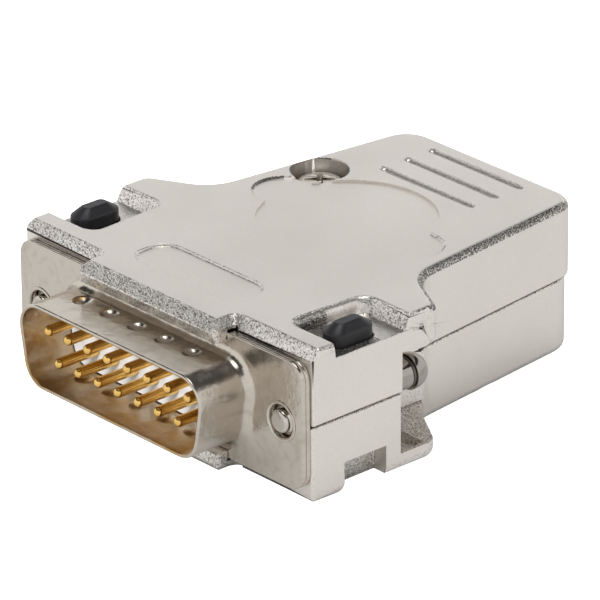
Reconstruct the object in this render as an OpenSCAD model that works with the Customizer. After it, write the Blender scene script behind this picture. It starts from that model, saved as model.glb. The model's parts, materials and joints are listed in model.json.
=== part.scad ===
// 15-way D-sub plug in a two-half die-cast hood with captive jackscrews and release buttons.
// Millimetres. X runs along the rows of contacts, -Y is the mating direction, +Z is up.
// The origin is the centre of the D in the front plane of the flange; the hood halves part at z = 0.

/* [Plug] */
// Distance between contacts of one row
pin_pitch = 2.77; // [2.6:0.01:2.9]
// Distance between the two rows
row_gap = 2.84; // [2.6:0.01:3.1]
// Diameter of a contact pin
pin_d = 1.02; // [0.7:0.01:1.1]
// How far the pins stand in front of the flange
pin_reach = 5.25; // [3:0.05:5.5]
// Overall width of the D collar
d_w = 25.25; // [24.9:0.05:27.4]
// Height of the D collar
d_h = 8.36; // [7.8:0.01:9]
// Slant of the short sides of the D, in degrees
d_slant = 10; // [6:1:12]
// Radius of the corners of the D
d_r = 2.6; // [1.6:0.1:3.2]
// How far the collar stands in front of the flange
d_reach = 5.95; // [5.5:0.05:7.5]
// Radius of the bend between collar and flange
d_flare = 1; // [0.5:0.1:1.1]
// Thickness of the collar's sheet
sheet_t = 0.4; // [0.3:0.02:0.5]
// Distance between the grounding dimples
dimple_pitch = 3.8; // [3:0.1:4.5]
// Distance from the flange to the row of dimples
dimple_y = 2.05; // [1.8:0.05:3]
// Sideways shift of the row of dimples
dimple_shift = -0.5; // [-0.8:0.1:0.8]

/* [Flange] */
// Width of the flange
flange_w = 39.1; // [37:0.1:39.6]
// Height of the flange
flange_h = 12.55; // [11.4:0.05:12.9]
// Radius of the corners of the flange
flange_r = 1.75; // [1:0.05:3]
// Thickness of each of the two flange plates
plate_t = 0.5; // [0.4:0.02:0.7]
// Distance between the two screws
screw_spacing = 33.32; // [33:0.02:33.6]
// Width of the rear part of the connector behind the flange
rear_w = 27.5; // [26.6:0.1:27.9]
// Height of the rear part of the connector
rear_h = 10.7; // [10:0.1:11]
// Depth of the rear shell behind the flange
rear_depth = 4; // [3:0.1:4.5]

/* [Contact block] */
// Depth of the front half of the block behind the flange
front_block_depth = 2.2; // [1.8:0.1:2.6]
// How far the block's face stands in front of the flange
block_face = 0.4; // [0:0.1:1]
// Depth of the whole block behind the flange
block_depth = 6; // [5.2:0.1:6.5]
// Outside diameter of a solder cup
cup_d = 1.8; // [1.5:0.05:1.9]
// Length of a solder cup behind the block
cup_len = 3.8; // [3:0.1:4.5]

/* [Hood] */
// Width over the shoulders
hood_w = 39.8; // [39.7:0.1:44]
// Height of the hood
hood_h = 15.1; // [14.8:0.1:18]
// Distance from the flange's front plane to the rear face
hood_rear = 42; // [41:0.5:52]
// Width of the narrow body where it leaves the shoulders
waist_w = 28.45; // [28.2:0.05:30]
// Width of the narrow body at the rear face
tail_w = 23.2; // [22.8:0.1:26]
// Distance from the flange's front plane to the rear outer corner of a shoulder
shoulder_rear = 16.16; // [15.8:0.1:18]
// Distance from the flange's front plane to where the waist begins
waist_y = 19.1; // [18.8:0.1:21]
// Thickness of the walls
wall = 1.5; // [1.1:0.1:1.6]
// Rounding of the shoulders' rear corners, seen from above
shoulder_r = 1.4; // [0.6:0.1:1.8]
// Hollow rounding between shoulder and waist, seen from above
waist_r = 4; // [2:0.2:5]
// Rounding of the rear corners, seen from above
tail_r = 3; // [1.5:0.1:4]
// Rounding along the upper edges
top_edge_r = 0.85; // [0.4:0.05:1]
// Rounding along the lower edges
bottom_edge_r = 0.8; // [0.5:0.05:1.2]
// How far the lower half is set in at the sides
lower_inset = 0.22; // [0:0.02:0.3]
// Width of the dark line between the halves
seam_gap = 0.2; // [0.1:0.02:0.3]

/* [Lips and bevels] */
// Width of the lips that hold the flange from the front
lip_w = 19; // [14:0.5:20]
// How far the lips stand in front of the flange
lip_reach = 1.6; // [1:0.1:2]
// How far a lip reaches over the flange
lip_grip = 0.825; // [0.4:0.025:1]
// Bevel along a lip's upper front edge
lip_bevel = 1; // [0.4:0.05:1.1]
// Bevel along the shoulders' upper front edge
shoulder_bevel = 0.8; // [0.3:0.02:0.9]
// Bevel along the shoulders' lower front edge
foot_bevel = 0.4; // [0.2:0.02:0.9]

/* [Finger dishes] */
// Depth of the dishes in the shoulders
dish_depth = 1.45; // [1.1:0.05:1.55]
// Start of a dish behind the flange's front plane
dish_y = 3.65; // [3.3:0.05:3.8]
// Start of the ramp at the rear of a dish
dish_ramp_y = 12.05; // [11.5:0.05:12.4]
// Run of that ramp, seen from above
dish_ramp_run = 0.85; // [0.5:0.05:1.6]
// Distance from the middle of the hood to the inner wall of a dish
dish_x = 13.95; // [13.6:0.05:14.2]

/* [Release buttons] */
// Width of a button
button_w = 2.6; // [2.5:0.05:2.75]
// Length of a button
button_len = 5; // [4.6:0.05:5.8]
// Middle of a button behind the flange's front plane
button_y = 7.35; // [7.2:0.05:7.45]
// Distance from the middle of the hood to the middle of a button
button_x = 17.45; // [17:0.05:17.5]
// How far a button stands above the top of the hood
button_rise = 0.45; // [0.1:0.05:0.8]
// Width of the flat on top of a button
button_flat_w = 1; // [0.8:0.05:1.6]
// Length of the flat on top of a button
button_flat_len = 2.5; // [2:0.1:3.6]
// Travel of a button
button_travel = 1; // [0.6:0.05:1]
// Gap round a button
button_gap = 0.12; // [0.08:0.01:0.14]

/* [Jackscrews] */
// Diameter of the thread at the tip
thread_d = 2.84; // [2.6:0.01:2.9]
// Diameter of the neck in the keyhole
neck_d = 2.3; // [2:0.01:2.4]
// Diameter of the shank
shank_d = 3; // [2.95:0.01:3.1]
// Diameter of the domed head
head_d = 3.5; // [3.4:0.02:3.7]
// Travel of a jackscrew
screw_float = 3; // [2:0.1:3]
// Gap round a jackscrew in its bore
bore_gap = 0.08; // [0.05:0.01:0.1]
// Start of the shoulder's window behind the flange's front plane
window_y = 11.85; // [11.7:0.05:12.2]
// Height of the window's roof over the parting plane
window_roof = 4.1; // [3.8:0.05:4.4]
// Depth of the window's floor under the parting plane, at the waist
window_floor = 5.1; // [4.6:0.05:5.2]
// Drop of the window's floor towards the outside
window_drop = 1; // [0.2:0.05:1.1]

/* [Recesses and grips] */
// Depth of the plain recesses in the top
recess_depth = 0.2; // [0.1:0.02:0.4]
// Diameter of the round recess
disc_d = 17.1; // [12:0.1:18]
// Width over the bar that crosses the round recess
bar_w = 23.5; // [20:0.1:24]
// Height of that bar
bar_h = 6.2; // [4:0.1:7]
// Place of the round recess behind the flange's front plane
disc_y = 23.25; // [22.5:0.05:23.5]
// Width of the front recess
panel_w = 14.6; // [10:0.1:16]
// Depth in plan of the front recess
panel_len = 4.8; // [3:0.1:5]
// Length of a grip groove
groove_len = 13; // [8:0.1:14]
// Width of a grip groove
groove_w = 1; // [0.6:0.05:1.2]
// Distance between grip grooves
groove_pitch = 3.12; // [2.4:0.02:3.2]

/* [Fastenings] */
// Sideways place of the hood screws
hood_screw_x = 9.85; // [9:0.05:10]
// Place of the hood screws behind the flange's front plane
hood_screw_y = 28.75; // [28:0.05:29.5]
// Thread diameter of a hood screw
hood_screw_d = 2.5; // [2:0.1:2.6]
// Diameter of a hood screw's head
hood_head_d = 4.9; // [4.2:0.1:5]
// Height of a hood screw's head
hood_head_h = 1.7; // [1.2:0.1:1.8]
// Gap round a hood screw's head in its counterbore
head_gap = 0.35; // [0.15:0.05:0.45]
// Depth of a hood screw's head under the surface
head_depth = 0.95; // [0.6:0.05:1.2]
// Diameter of the cable outlet and of the clamp's arch
outlet_d = 8.6; // [6:0.1:9]
// Place of the cable clamp behind the flange's front plane
clamp_y = 35.2; // [34.5:0.1:36]
// Width of the cable clamp along the cable
clamp_len = 3.6; // [2.5:0.1:4]
// Thread diameter of a clamp screw
clamp_screw_d = 2; // [1.6:0.1:2.2]

/* [Hidden] */
UPPER_COUNT = 8;
LOWER_COUNT = 7;
PIN_COUNT = UPPER_COUNT + LOWER_COUNT;

function pin_name(i) = str("pin_", i < 10 ? "0" : "", i);

SMOOTH = 48;
TINY = 0.01;
PAST = 1;              // how far a cutter runs past the surface that it cuts
SEAT = 0.02;           // clearance between pieces that sit face to face

flange_t = 2 * plate_t;
screw_x = screw_spacing / 2;
half_h = hood_h / 2;
inner_h = half_h - wall;

// Connector block
block_gap = 0.12;
pin_r = pin_d / 2;
collar_r = pin_r + 0.35;
collar_len = 1.8;
cup_r = cup_d / 2;
cup_wall = 0.3;
pin_gap = 0.02;
block_play = 0.1;
rear_r = d_r + 0.8;
rear_in_w = rear_w - 2 * sheet_t;
rear_in_h = rear_h - 2 * sheet_t;
rear_in_r = rear_r - sheet_t;
eyelet_wall = 0.14;
eyelet_rim = 0.1;
eyelet_roll = 0.05;
dimple_count = 5;
dimple_r = 1.35;
dimple_dip = 0.45;
dimple_wall = 0.3;

// Jackscrew, measured from the flange's front plane
bore_r = shank_d / 2 + bore_gap;
eyelet_r = bore_r;
keyhole_t = 1;
keyhole_y = button_y - keyhole_t / 2;
keyhole_gap = 0.2;
keyhole_play = 0.1;
thread_end = keyhole_y - keyhole_gap;
neck_end = keyhole_y + keyhole_t + screw_float + 0.3;
washer_t = 0.25;
washer_y = window_y + screw_float + 0.05;
washer_r = head_d / 2 - 0.2;
washer_gap = 0.05;
washer_play = 0.05;
groove_r = neck_d / 2;
head_y = washer_y + washer_t + 0.03;
head_rim = 0.35;
head_flat = 0.75;
tip_out = 0.35;          // how far the screw's tip stands in front of the flange at rest
tip_chamfer = 0.45;
slot_w = 0.6;
slot_depth = 0.7;

// Finger dish
dish_slope = 0.8;
dish_draft = 0.15;
dish_skew = 0.25;
dish_low_r = 1.1;
dish_high_r = 1.4;

// Button and the chamber under its dish
dish_floor = half_h - dish_depth;
floor_t = 1.1;
chamber_top = dish_floor - floor_t;
foot_t = 0.8;
foot_len = button_len + 0.9;
chamber_gap = 0.14;
button_top = half_h + button_rise;
button_waist = dish_floor + 1.1;
button_r = 1.2;
plate_w = shank_d + 1.3;
plate_foot = 2.6;
plate_room = 0.2;
spring_seat = 5.2;
spring_bore_r = 0.95;
spring_wire_r = 0.11;
spring_turns = 4;
spring_rings = 16;
spring_sides = 6;

// Hood
seam_land = 0.6;
seam_edge = 0.12;
shoulder_edge = 0.45;  // share of the edge rounding that a shoulder's side gets
room_gap = 0.2;
lip_h = half_h - flange_h / 2 + lip_grip;
lip_r = 0.8;
lip_fillet = 0.4;
lip_lean = 0.25;
cavity_side = waist_w / 2 - wall;
window_x = waist_w / 2 - SEAT;
notch_y = 4.95;
notch_len = 5.05;
notch_top = 4.7;
notch_in = 1.9;
notch_deep_len = 1.5;
notch_deep_in = 2.9;
notch_r = 1;
pit_r = 0.28;
pit_y = window_y + 2.3;
pit_depth = 1.68;
dip_w = 3.2;
dip_len = 3.1;
dip_rim = 0.4;
dip_depth = 0.25;
counterbore_d = hood_head_d + 2 * head_gap;
boss_r = counterbore_d / 2 + 0.5;
screw_gap = 0.02;
hood_shank_gap = 0.1;
hood_screw_len = 8.5;
cross_w = 0.55;
cross_len = 3;
cross_turn = 48;
groove_first = hood_rear - 2.35;
groove_dip = 0.35;
panel_y = 2.6;
clamp_t = 1;
clamp_top = -0.2;
clamp_post_r = clamp_screw_d / 2 + 0.7;
clamp_room = 0.25;     // gap that the upper half leaves over the clamp
cradle_t = 1.2;
cradle_rise = 1.6;
clamp_head_r = clamp_screw_d / 2 + 0.75;
clamp_head_h = 1.1;
clamp_screw_x = outlet_d / 2 + clamp_t + clamp_head_r + 0.15;
clamp_screw_len = 3.6;

// Corner i of a closed list, counted round
function wrap(list, i) = list[(i + len(list)) % len(list)];
function unit(v) = v / norm(v);
function left_of(v) = [-v.y, v.x];
function cross2(a, b) = a.x * b.y - a.y * b.x;
function turned(v, a) = [v.x * cos(a) - v.y * sin(a), v.x * sin(a) + v.y * cos(a)];

// Where the two edges that meet in a corner cross once each is moved in by its own inset
function inset_corner(corner, way_in, way_out, inset_in, inset_out) =
    let (n = left_of(way_in), m = left_of(way_out), d = cross2(n, m))
    corner + [inset_in * m.y - inset_out * n.y, inset_out * n.x - inset_in * m.x] / d;

// Points of a round corner between the directions in which it is reached and left
function corner_arc(corner, way_in, way_out, r, steps) =
    let (turn = atan2(cross2(way_in, way_out), way_in * way_out),
         start = corner - way_in * r * tan(abs(turn) / 2),
         spoke = left_of(way_in) * r * sign(turn))
    [for (i = [0 : steps]) start + spoke - turned(spoke, turn * i / steps)];

// Outline of a counter-clockwise list of corners [x, y, radius, steps, share of the inset on the next edge]
function outline(corners, inset = 0, share_used = false) =
    [for (i = [0 : len(corners) - 1])
        let (c = corners[i], last = wrap(corners, i - 1), next = wrap(corners, i + 1),
             here = [c[0], c[1]],
             way_in = unit(here - [last[0], last[1]]),
             way_out = unit([next[0], next[1]] - here),
             e_in = inset * (share_used ? last[4] : 1),
             e_out = inset * (share_used ? c[4] : 1),
             convex = cross2(way_in, way_out) > 0,
             mean = (e_in + e_out) / 2,
             r = max(convex ? c[2] - mean : c[2] + mean, 0.05))
        each corner_arc(inset_corner(here, way_in, way_out, e_in, e_out), way_in, way_out, r, c[3])];

// Solid through rings of equal count, bottom to top as [outline, height], each end closed round the hub
module loft(rings, hub = [0, 0]) {
    n = len(rings[0][0]);
    top = len(rings) - 1;
    low_hub = len(rings) * n;
    points = concat([for (ring = rings, p = ring[0]) [p.x, p.y, ring[1]]],
                    [[hub.x, hub.y, rings[0][1]], [hub.x, hub.y, rings[top][1]]]);
    walls = [for (k = [0 : top - 1], i = [0 : n - 1])
        let (j = (i + 1) % n, a = k * n, b = a + n)
        each [[a + i, b + i, b + j], [a + i, b + j, a + j]]];
    caps = [for (i = [0 : n - 1])
        let (j = (i + 1) % n)
        each [[i, j, low_hub], [top * n + j, top * n + i, low_hub + 1]]];
    polyhedron(points, concat(walls, caps));
}

// Closed tube through rings of equal count, the last joined to the first
module ring_loft(rings) {
    n = len(rings[0][0]);
    m = len(rings);
    points = [for (ring = rings, p = ring[0]) [p.x, p.y, ring[1]]];
    walls = [for (k = [0 : m - 1], i = [0 : n - 1])
        let (j = (i + 1) % n, a = k * n, b = ((k + 1) % m) * n)
        each [[a + i, b + i, b + j], [a + i, b + j, a + j]]];
    polyhedron(points, walls);
}

// Extrusion of a front view, drawn in X and Z, from y0 back to y1
module from_front(y0, y1) {
    translate([0, y1, 0]) rotate([90, 0, 0]) linear_extrude(y1 - y0) children();
}

// Turned piece on a jackscrew's axis, its profile drawn as [radius, distance behind the flange's plane]
module turned_along_y(x, profile) {
    translate([x, 0, 0]) rotate([-90, 0, 0]) rotate_extrude($fn = SMOOTH) polygon(profile);
}

module hole_along_y(x, r, y0, y1) {
    translate([x, y1, 0]) rotate([90, 0, 0]) cylinder(r = r, h = y1 - y0, $fn = SMOOTH);
}

module box(low, high) {
    translate(low) cube(high - low);
}

module both_sides() {
    children();
    mirror([1, 0, 0]) children();
}

// Rounded rectangle about the origin, as corners
function rect_corners(w, h, r, steps) =
    [[-w / 2, -h / 2, r, steps, 1], [w / 2, -h / 2, r, steps, 1],
     [w / 2, h / 2, r, steps, 1], [-w / 2, h / 2, r, steps, 1]];

// The D, wide side up, as corners, for the width over its rounded corners
function d_corners(w, h, r) =
    let (top = w / 2 + r * (tan(d_slant) + 1 / cos(d_slant) - 1), low = top - h * tan(d_slant))
    [[-low, -h / 2, r, 8, 1], [low, -h / 2, r, 8, 1], [top, h / 2, r, 8, 1], [-top, h / 2, r, 8, 1]];

// Plan of the hood behind the flange, as corners
HOOD_PLAN = [
    [-hood_w / 2, flange_t, 0.35, 3, 0],
    [hood_w / 2, flange_t, 0.35, 3, shoulder_edge],
    [hood_w / 2, shoulder_rear, shoulder_r, 5, 1],
    [waist_w / 2, waist_y, waist_r, 7, 1],
    [tail_w / 2, hood_rear, tail_r, 7, 1],
    [-tail_w / 2, hood_rear, tail_r, 7, 1],
    [-waist_w / 2, waist_y, waist_r, 7, 1],
    [-hood_w / 2, shoulder_rear, shoulder_r, 5, shoulder_edge]
];

// Plan of the hood, set in everywhere but at the front
function hood_plan(side_inset) =
    [for (i = [0 : len(HOOD_PLAN) - 1])
        let (c = HOOD_PLAN[i], last = wrap(HOOD_PLAN, i - 1), next = wrap(HOOD_PLAN, i + 1),
             here = [c[0], c[1]],
             way_in = unit(here - [last[0], last[1]]),
             way_out = unit([next[0], next[1]] - here),
             e_in = last[4] > 0 ? side_inset : 0,
             e_out = c[4] > 0 ? side_inset : 0,
             p = inset_corner(here, way_in, way_out, e_in, e_out))
        [p.x, p.y, c[2], c[3], c[4]]];

// One half of the hood's outer form, from the parting plane up, with its lip
module hood_half(edge_r, side_inset) {
    seam = seam_gap / 2;
    plan = hood_plan(side_inset);
    loft(concat(
        [[outline(plan, seam_land), 0],
         [outline(plan, seam_land), seam],
         [outline(plan, seam_edge), seam],
         [outline(plan), seam + seam_edge]],
        [for (a = [0 : 18 : 90])
            [outline(plan, edge_r * (1 - cos(a)), true), half_h - edge_r * (1 - sin(a))]]
    ), [0, shoulder_rear]);
    lip();
}

// Lip in front of the flange, joined to the hood above it
module lip() {
    back = flange_t + PAST;
    difference() {
        translate([0, 0, half_h - lip_h]) linear_extrude(lip_h) union() {
            translate([-lip_w / 2 + lip_r, -lip_reach]) square([lip_w - 2 * lip_r, lip_reach + back]);
            translate([-lip_w / 2, -lip_reach + lip_r]) square([lip_w, lip_reach + back - lip_r]);
            both_sides() {
                translate([lip_w / 2 - lip_r, -lip_reach + lip_r]) circle(lip_r, $fn = SMOOTH);
                difference() {
                    translate([lip_w / 2 - TINY, flange_t - lip_fillet])
                        square([lip_fillet, lip_fillet + back - flange_t]);
                    translate([lip_w / 2 + lip_fillet, flange_t - lip_fillet])
                        circle(lip_fillet, $fn = SMOOTH);
                }
            }
        }
        front_bevel(-lip_reach, lip_bevel);
        translate([-hood_w, -lip_reach, half_h - lip_h]) rotate([90, 0, 90]) linear_extrude(2 * hood_w)
            polygon([[-PAST, -TINY], [lip_lean, -TINY], [0, lip_h - lip_bevel], [-PAST, lip_h - lip_bevel]]);
    }
}

// Cutter for the bevel between the top and a front face at y
module front_bevel(y, size) {
    translate([-hood_w, y, half_h - size]) rotate([90, 0, 90]) linear_extrude(2 * hood_w)
        polygon([[-PAST, -PAST], [size + PAST, size + PAST], [-PAST, size + PAST]]);
}

// Bevels along the upper front edges of the two shoulders
module shoulder_bevels(size) {
    intersection() {
        front_bevel(flange_t, size);
        both_sides() box([lip_w / 2 + lip_fillet, 0, 0], [hood_w, hood_rear, hood_h]);
    }
}

// Space for the flange plates and for the rear part of the connector
module connector_room() {
    box([-flange_w / 2 - room_gap, -SEAT, -flange_h / 2 - room_gap],
        [flange_w / 2 + room_gap, flange_t + SEAT, flange_h / 2 + room_gap]);
    box([-rear_w / 2 - room_gap, 0, -rear_h / 2 - room_gap],
        [rear_w / 2 + room_gap, flange_t + max(rear_depth, block_depth) + room_gap, rear_h / 2 + room_gap]);
}

// Hollow of the hood for the wires, less the bosses of the hood screws
module wire_room() {
    difference() {
        translate([0, 0, -inner_h]) linear_extrude(2 * inner_h) polygon([
            [-cavity_side, flange_t - PAST], [cavity_side, flange_t - PAST],
            [cavity_side, waist_y], [tail_w / 2 - wall, hood_rear - wall - 1],
            [tail_w / 2 - wall - 1, hood_rear - wall], [-tail_w / 2 + wall + 1, hood_rear - wall],
            [-tail_w / 2 + wall, hood_rear - wall - 1], [-cavity_side, waist_y]
        ]);
        both_sides() translate([hood_screw_x, hood_screw_y, -hood_h])
            cylinder(r = boss_r, h = 2 * hood_h, $fn = SMOOTH);
    }
}

module cable_outlet() {
    hole_along_y(0, outlet_d / 2, hood_rear - wall - PAST, hood_rear + PAST);
    translate([0, hood_rear + TINY, 0]) rotate([90, 0, 0])
        cylinder(r1 = outlet_d / 2 + 0.5, r2 = outlet_d / 2, h = 0.5, $fn = SMOOTH);
}

// Bore of the jackscrew through both walls of a shoulder
module screw_bore() {
    hole_along_y(screw_x, bore_r, flange_t - PAST, window_y + PAST);
}

// Open space behind a shoulder in which the screw's head is reached
module window(low, high) {
    box([window_x, window_y, low], [hood_w, waist_y + 2, high]);
}

// Plan of the finger dish where its inner wall, rounded over at the top, has turned through angle a
function dish_plan(a) =
    let (sunk = 1 - cos(a), x = dish_x - dish_slope * (1 - sin(a)), front = dish_y + dish_draft * sunk,
         rear = dish_ramp_y + dish_ramp_run * (1 - sunk),
         r = dish_high_r + (dish_low_r - dish_high_r) * sunk)
    outline([[x, front, r, 5, 1], [hood_w, front, TINY, 1, 1], [hood_w, rear, TINY, 1, 1],
             [x + dish_skew * (2 - sunk), rear, r, 5, 1]]);

// The dish for a fingertip, open at the side, with a ramp at its rear
module finger_dish() {
    loft(concat(
        [for (a = [90 : -18 : 0]) [dish_plan(a), half_h - dish_depth * (1 - cos(a))]],
        [[dish_plan(0), half_h + PAST]]
    ), [screw_x, button_y]);
}

// Chamber for a button's foot and keyhole plate under the dish
module button_chamber() {
    hole_w = button_w + 2 * button_gap;
    hole_len = button_len + 2 * button_gap;
    room_w = plate_w + 2 * chamber_gap;
    translate([button_x, button_y, chamber_top - PAST]) linear_extrude(floor_t + 2 * PAST)
        polygon(outline(rect_corners(hole_w, hole_len, button_r + button_gap, 6)));
    box([screw_x - room_w / 2, button_y - foot_len / 2 - chamber_gap, -PAST],
        [screw_x + room_w / 2, button_y + foot_len / 2 + chamber_gap, chamber_top]);
}

// Slot for the lower end of the keyhole plate and the bore for its spring
module plate_chamber() {
    room_w = plate_w + 2 * chamber_gap;
    bottom = -plate_foot - button_travel - plate_room;
    box([screw_x - room_w / 2, keyhole_y - keyhole_gap, bottom],
        [screw_x + room_w / 2, keyhole_y + keyhole_t + keyhole_gap, PAST]);
    translate([screw_x, button_y, -spring_seat])
        cylinder(r = spring_bore_r, h = spring_seat, $fn = SMOOTH);
}

module hood_screw_hole(x) {
    translate([x, hood_screw_y, -PAST])
        cylinder(r = hood_screw_d / 2 + hood_shank_gap, h = half_h + 2 * PAST, $fn = SMOOTH);
    translate([x, hood_screw_y, half_h - head_depth - hood_head_h])
        cylinder(d = counterbore_d, h = hood_h, $fn = SMOOTH);
}

module threaded_hole(x) {
    translate([x, hood_screw_y, -PAST])
        cylinder(r = hood_screw_d / 2 + screw_gap, h = inner_h + PAST, $fn = SMOOTH);
}

// Shallow plain recesses and the grip grooves in the top
module top_relief() {
    translate([0, 0, half_h - recess_depth]) linear_extrude(PAST) {
        translate([0, disc_y]) union() {
            circle(d = disc_d, $fn = 2 * SMOOTH);
            square([bar_w - bar_h, bar_h], center = true);
            both_sides() translate([(bar_w - bar_h) / 2, 0]) circle(d = bar_h, $fn = SMOOTH);
        }
        translate([0, panel_len / 2 + panel_y])
            polygon(outline(rect_corners(panel_w, panel_len, 2, 5)));
    }
    for (i = [0 : 2]) grip_groove(groove_first - i * groove_pitch);
}

module grip_groove(y) {
    r = (groove_w * groove_w / 4 + groove_dip * groove_dip) / (2 * groove_dip);
    run = groove_len - groove_w;
    translate([0, y, half_h + r - groove_dip]) {
        rotate([0, 90, 0]) cylinder(r = r, h = run, center = true, $fn = SMOOTH);
        both_sides() translate([run / 2, 0, 0]) sphere(r, $fn = SMOOTH);
    }
}

// Notch in the foot of a shoulder, deeper at its rear
module foot_notch() {
    translate([hood_w / 2 - notch_in, 0, 0]) rotate([90, 0, 90]) linear_extrude(hood_w) {
        difference() {
            translate([notch_y - notch_r, -half_h - PAST])
                square([notch_len + notch_r, half_h - notch_top + PAST]);
            translate([notch_y - 2 * notch_r, -half_h + notch_r]) square([2 * notch_r, hood_h]);
            translate([notch_y - notch_r, -half_h + notch_r]) circle(notch_r, $fn = SMOOTH);
        }
    }
    box([hood_w / 2 - notch_deep_in, notch_y + notch_len - notch_deep_len, -half_h - PAST],
        [hood_w, notch_y + notch_len, -notch_top - 0.3]);
}

// Floor of the window: it falls away outwards and has a rough three-cornered dip at its outer rim
module window_floor_cut() {
    translate([window_x, waist_y + 2, 0]) rotate([90, 0, 0]) linear_extrude(waist_y + 2 - window_y)
        polygon([[0, -window_floor], [hood_w / 2 - window_x, -window_floor - window_drop],
                 [hood_w, -window_floor - window_drop], [hood_w, PAST], [0, PAST]]);
    translate([0, 0, -window_floor - window_drop - dip_depth]) linear_extrude(2 * PAST) polygon([
        [hood_w / 2 - dip_w, window_y + dip_len - 0.7], [hood_w / 2 - dip_w, window_y],
        [hood_w / 2 - dip_rim, window_y], [hood_w / 2 - 1.5 * dip_rim, window_y + dip_len]
    ]);
}

module upper_shell() {
    color("silver") difference() {
        hood_half(top_edge_r, 0);
        shoulder_bevels(shoulder_bevel);
        connector_room();
        wire_room();
        cable_outlet();
        hole_along_y(0, outlet_d / 2 + clamp_t + clamp_room, clamp_y - clamp_len / 2 - clamp_room,
                     clamp_y + clamp_len / 2 + clamp_room);
        both_sides() {
            screw_bore();
            finger_dish();
            button_chamber();
            window(-PAST, window_roof);
        }
        hood_screw_hole(-hood_screw_x);
        threaded_hole(hood_screw_x);
        top_relief();
        translate([hood_w / 2, pit_y, half_h - pit_depth]) sphere(pit_r, $fn = 24);
    }
}

module lower_shell() {
    color("silver") difference() {
        union() {
            difference() {
                mirror([0, 0, 1]) hood_half(bottom_edge_r, lower_inset);
                wire_room();
            }
            clamp_posts();
        }
        mirror([0, 0, 1]) shoulder_bevels(foot_bevel);
        connector_room();
        cable_outlet();
        both_sides() {
            screw_bore();
            plate_chamber();
            foot_notch();
            window_floor_cut();
            translate([clamp_screw_x, clamp_y, -inner_h - PAST / 2])
                cylinder(r = clamp_screw_d / 2 + screw_gap, h = hood_h, $fn = SMOOTH);
        }
        mirror([0, 0, 1]) {
            hood_screw_hole(hood_screw_x);
            threaded_hole(-hood_screw_x);
        }
    }
}

// Posts and cradle that carry the cable clamp, standing on the floor of the lower half
module clamp_posts() {
    floor_z = -inner_h - TINY;
    post_top = clamp_top - clamp_t;
    both_sides() translate([clamp_screw_x, clamp_y, floor_z])
        cylinder(r = clamp_post_r, h = post_top - floor_z, $fn = SMOOTH);
    difference() {
        box([-clamp_screw_x, clamp_y - cradle_t / 2, floor_z],
            [clamp_screw_x, clamp_y + cradle_t / 2, -outlet_d / 2 + cradle_rise]);
        hole_along_y(0, outlet_d / 2, clamp_y - PAST, clamp_y + PAST);
    }
}

module cable_clamp() {
    r = outlet_d / 2;
    tab_end = clamp_screw_x + clamp_post_r - 0.1;
    color("silver") difference() {
        from_front(clamp_y - clamp_len / 2, clamp_y + clamp_len / 2) difference() {
            union() {
                circle(r + clamp_t, $fn = SMOOTH);
                translate([-tab_end, clamp_top - clamp_t + SEAT]) square([2 * tab_end, clamp_t]);
            }
            circle(r, $fn = SMOOTH);
            translate([-hood_w, -hood_h + clamp_top - clamp_t + SEAT]) square([2 * hood_w, hood_h]);
        }
        both_sides() translate([clamp_screw_x, clamp_y, -hood_h])
            cylinder(r = clamp_screw_d / 2 + hood_shank_gap, h = 2 * hood_h, $fn = SMOOTH);
    }
}

// Screw with a round cross-recessed head, seated at the origin with its shank pointing down
module cross_screw(shank_r, shank_len, head_r, head_h, cross_r, cross_slot) {
    dome = 0.25 * head_h;
    difference() {
        rotate_extrude($fn = SMOOTH) polygon([
            [0, -shank_len], [shank_r - 0.2, -shank_len], [shank_r, -shank_len + 0.3], [shank_r, 0],
            [head_r, 0], [head_r, head_h - 2 * dome], [head_r - 0.35 * dome, head_h - dome],
            [head_r - dome, head_h - 0.4 * dome], [head_r - 2.4 * dome, head_h], [0, head_h]
        ]);
        for (a = [0, 90]) rotate([0, 0, a + cross_turn])
            translate([-cross_r, -cross_slot / 2, 0.45 * head_h]) cube([2 * cross_r, cross_slot, head_h]);
    }
}

// Screw in the counterbore of the upper half, or turned over into that of the lower half
module hood_screw(turn) {
    seat_z = half_h - head_depth - hood_head_h;
    color("silver") rotate([0, turn, 0]) translate([-hood_screw_x, hood_screw_y, seat_z + SEAT])
        cross_screw(hood_screw_d / 2, hood_screw_len, hood_head_d / 2, hood_head_h, cross_len / 2, cross_w);
}

module clamp_screw(side) {
    color("silver") translate([side * clamp_screw_x, clamp_y, clamp_top + 2 * SEAT])
        cross_screw(clamp_screw_d / 2, clamp_screw_len, clamp_head_r, clamp_head_h, clamp_head_r * 0.6, 0.4);
}

// Drawn collar of the plug with its bend, rim and wall, as a tube of D outlines
module collar() {
    bend = [for (a = [0 : 22.5 : 90]) [d_flare * (1 - cos(a)), d_flare * (1 - sin(a))]];
    profile = concat(
        [[-sheet_t, -plate_t], [d_flare, -plate_t]],
        [for (i = [len(bend) - 1 : -1 : 0]) bend[i]],
        [[0, d_reach - sheet_t / 2], [-0.15 * sheet_t, d_reach - 0.15 * sheet_t], [-sheet_t / 2, d_reach],
         [-0.85 * sheet_t, d_reach - 0.15 * sheet_t], [-sheet_t, d_reach - sheet_t / 2]]
    );
    rotate([90, 0, 0]) ring_loft([for (p = profile) [outline(d_corners(d_w, d_h, d_r), -p[0]), p[1]]]);
}

// Row of dimples pressed into a long side of the collar; grow 0 cuts the dent, more makes its inner bump
module dimples(count, grow) {
    first = dimple_shift - dimple_pitch * (count - 1) / 2;
    for (i = [0 : count - 1])
        translate([first + i * dimple_pitch, -dimple_y, d_h / 2 + dimple_r - dimple_dip])
            sphere(dimple_r + grow, $fn = 32);
}

module dimple_sides() {
    for (up = [0, 1]) mirror([0, 0, up]) children();
}

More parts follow.
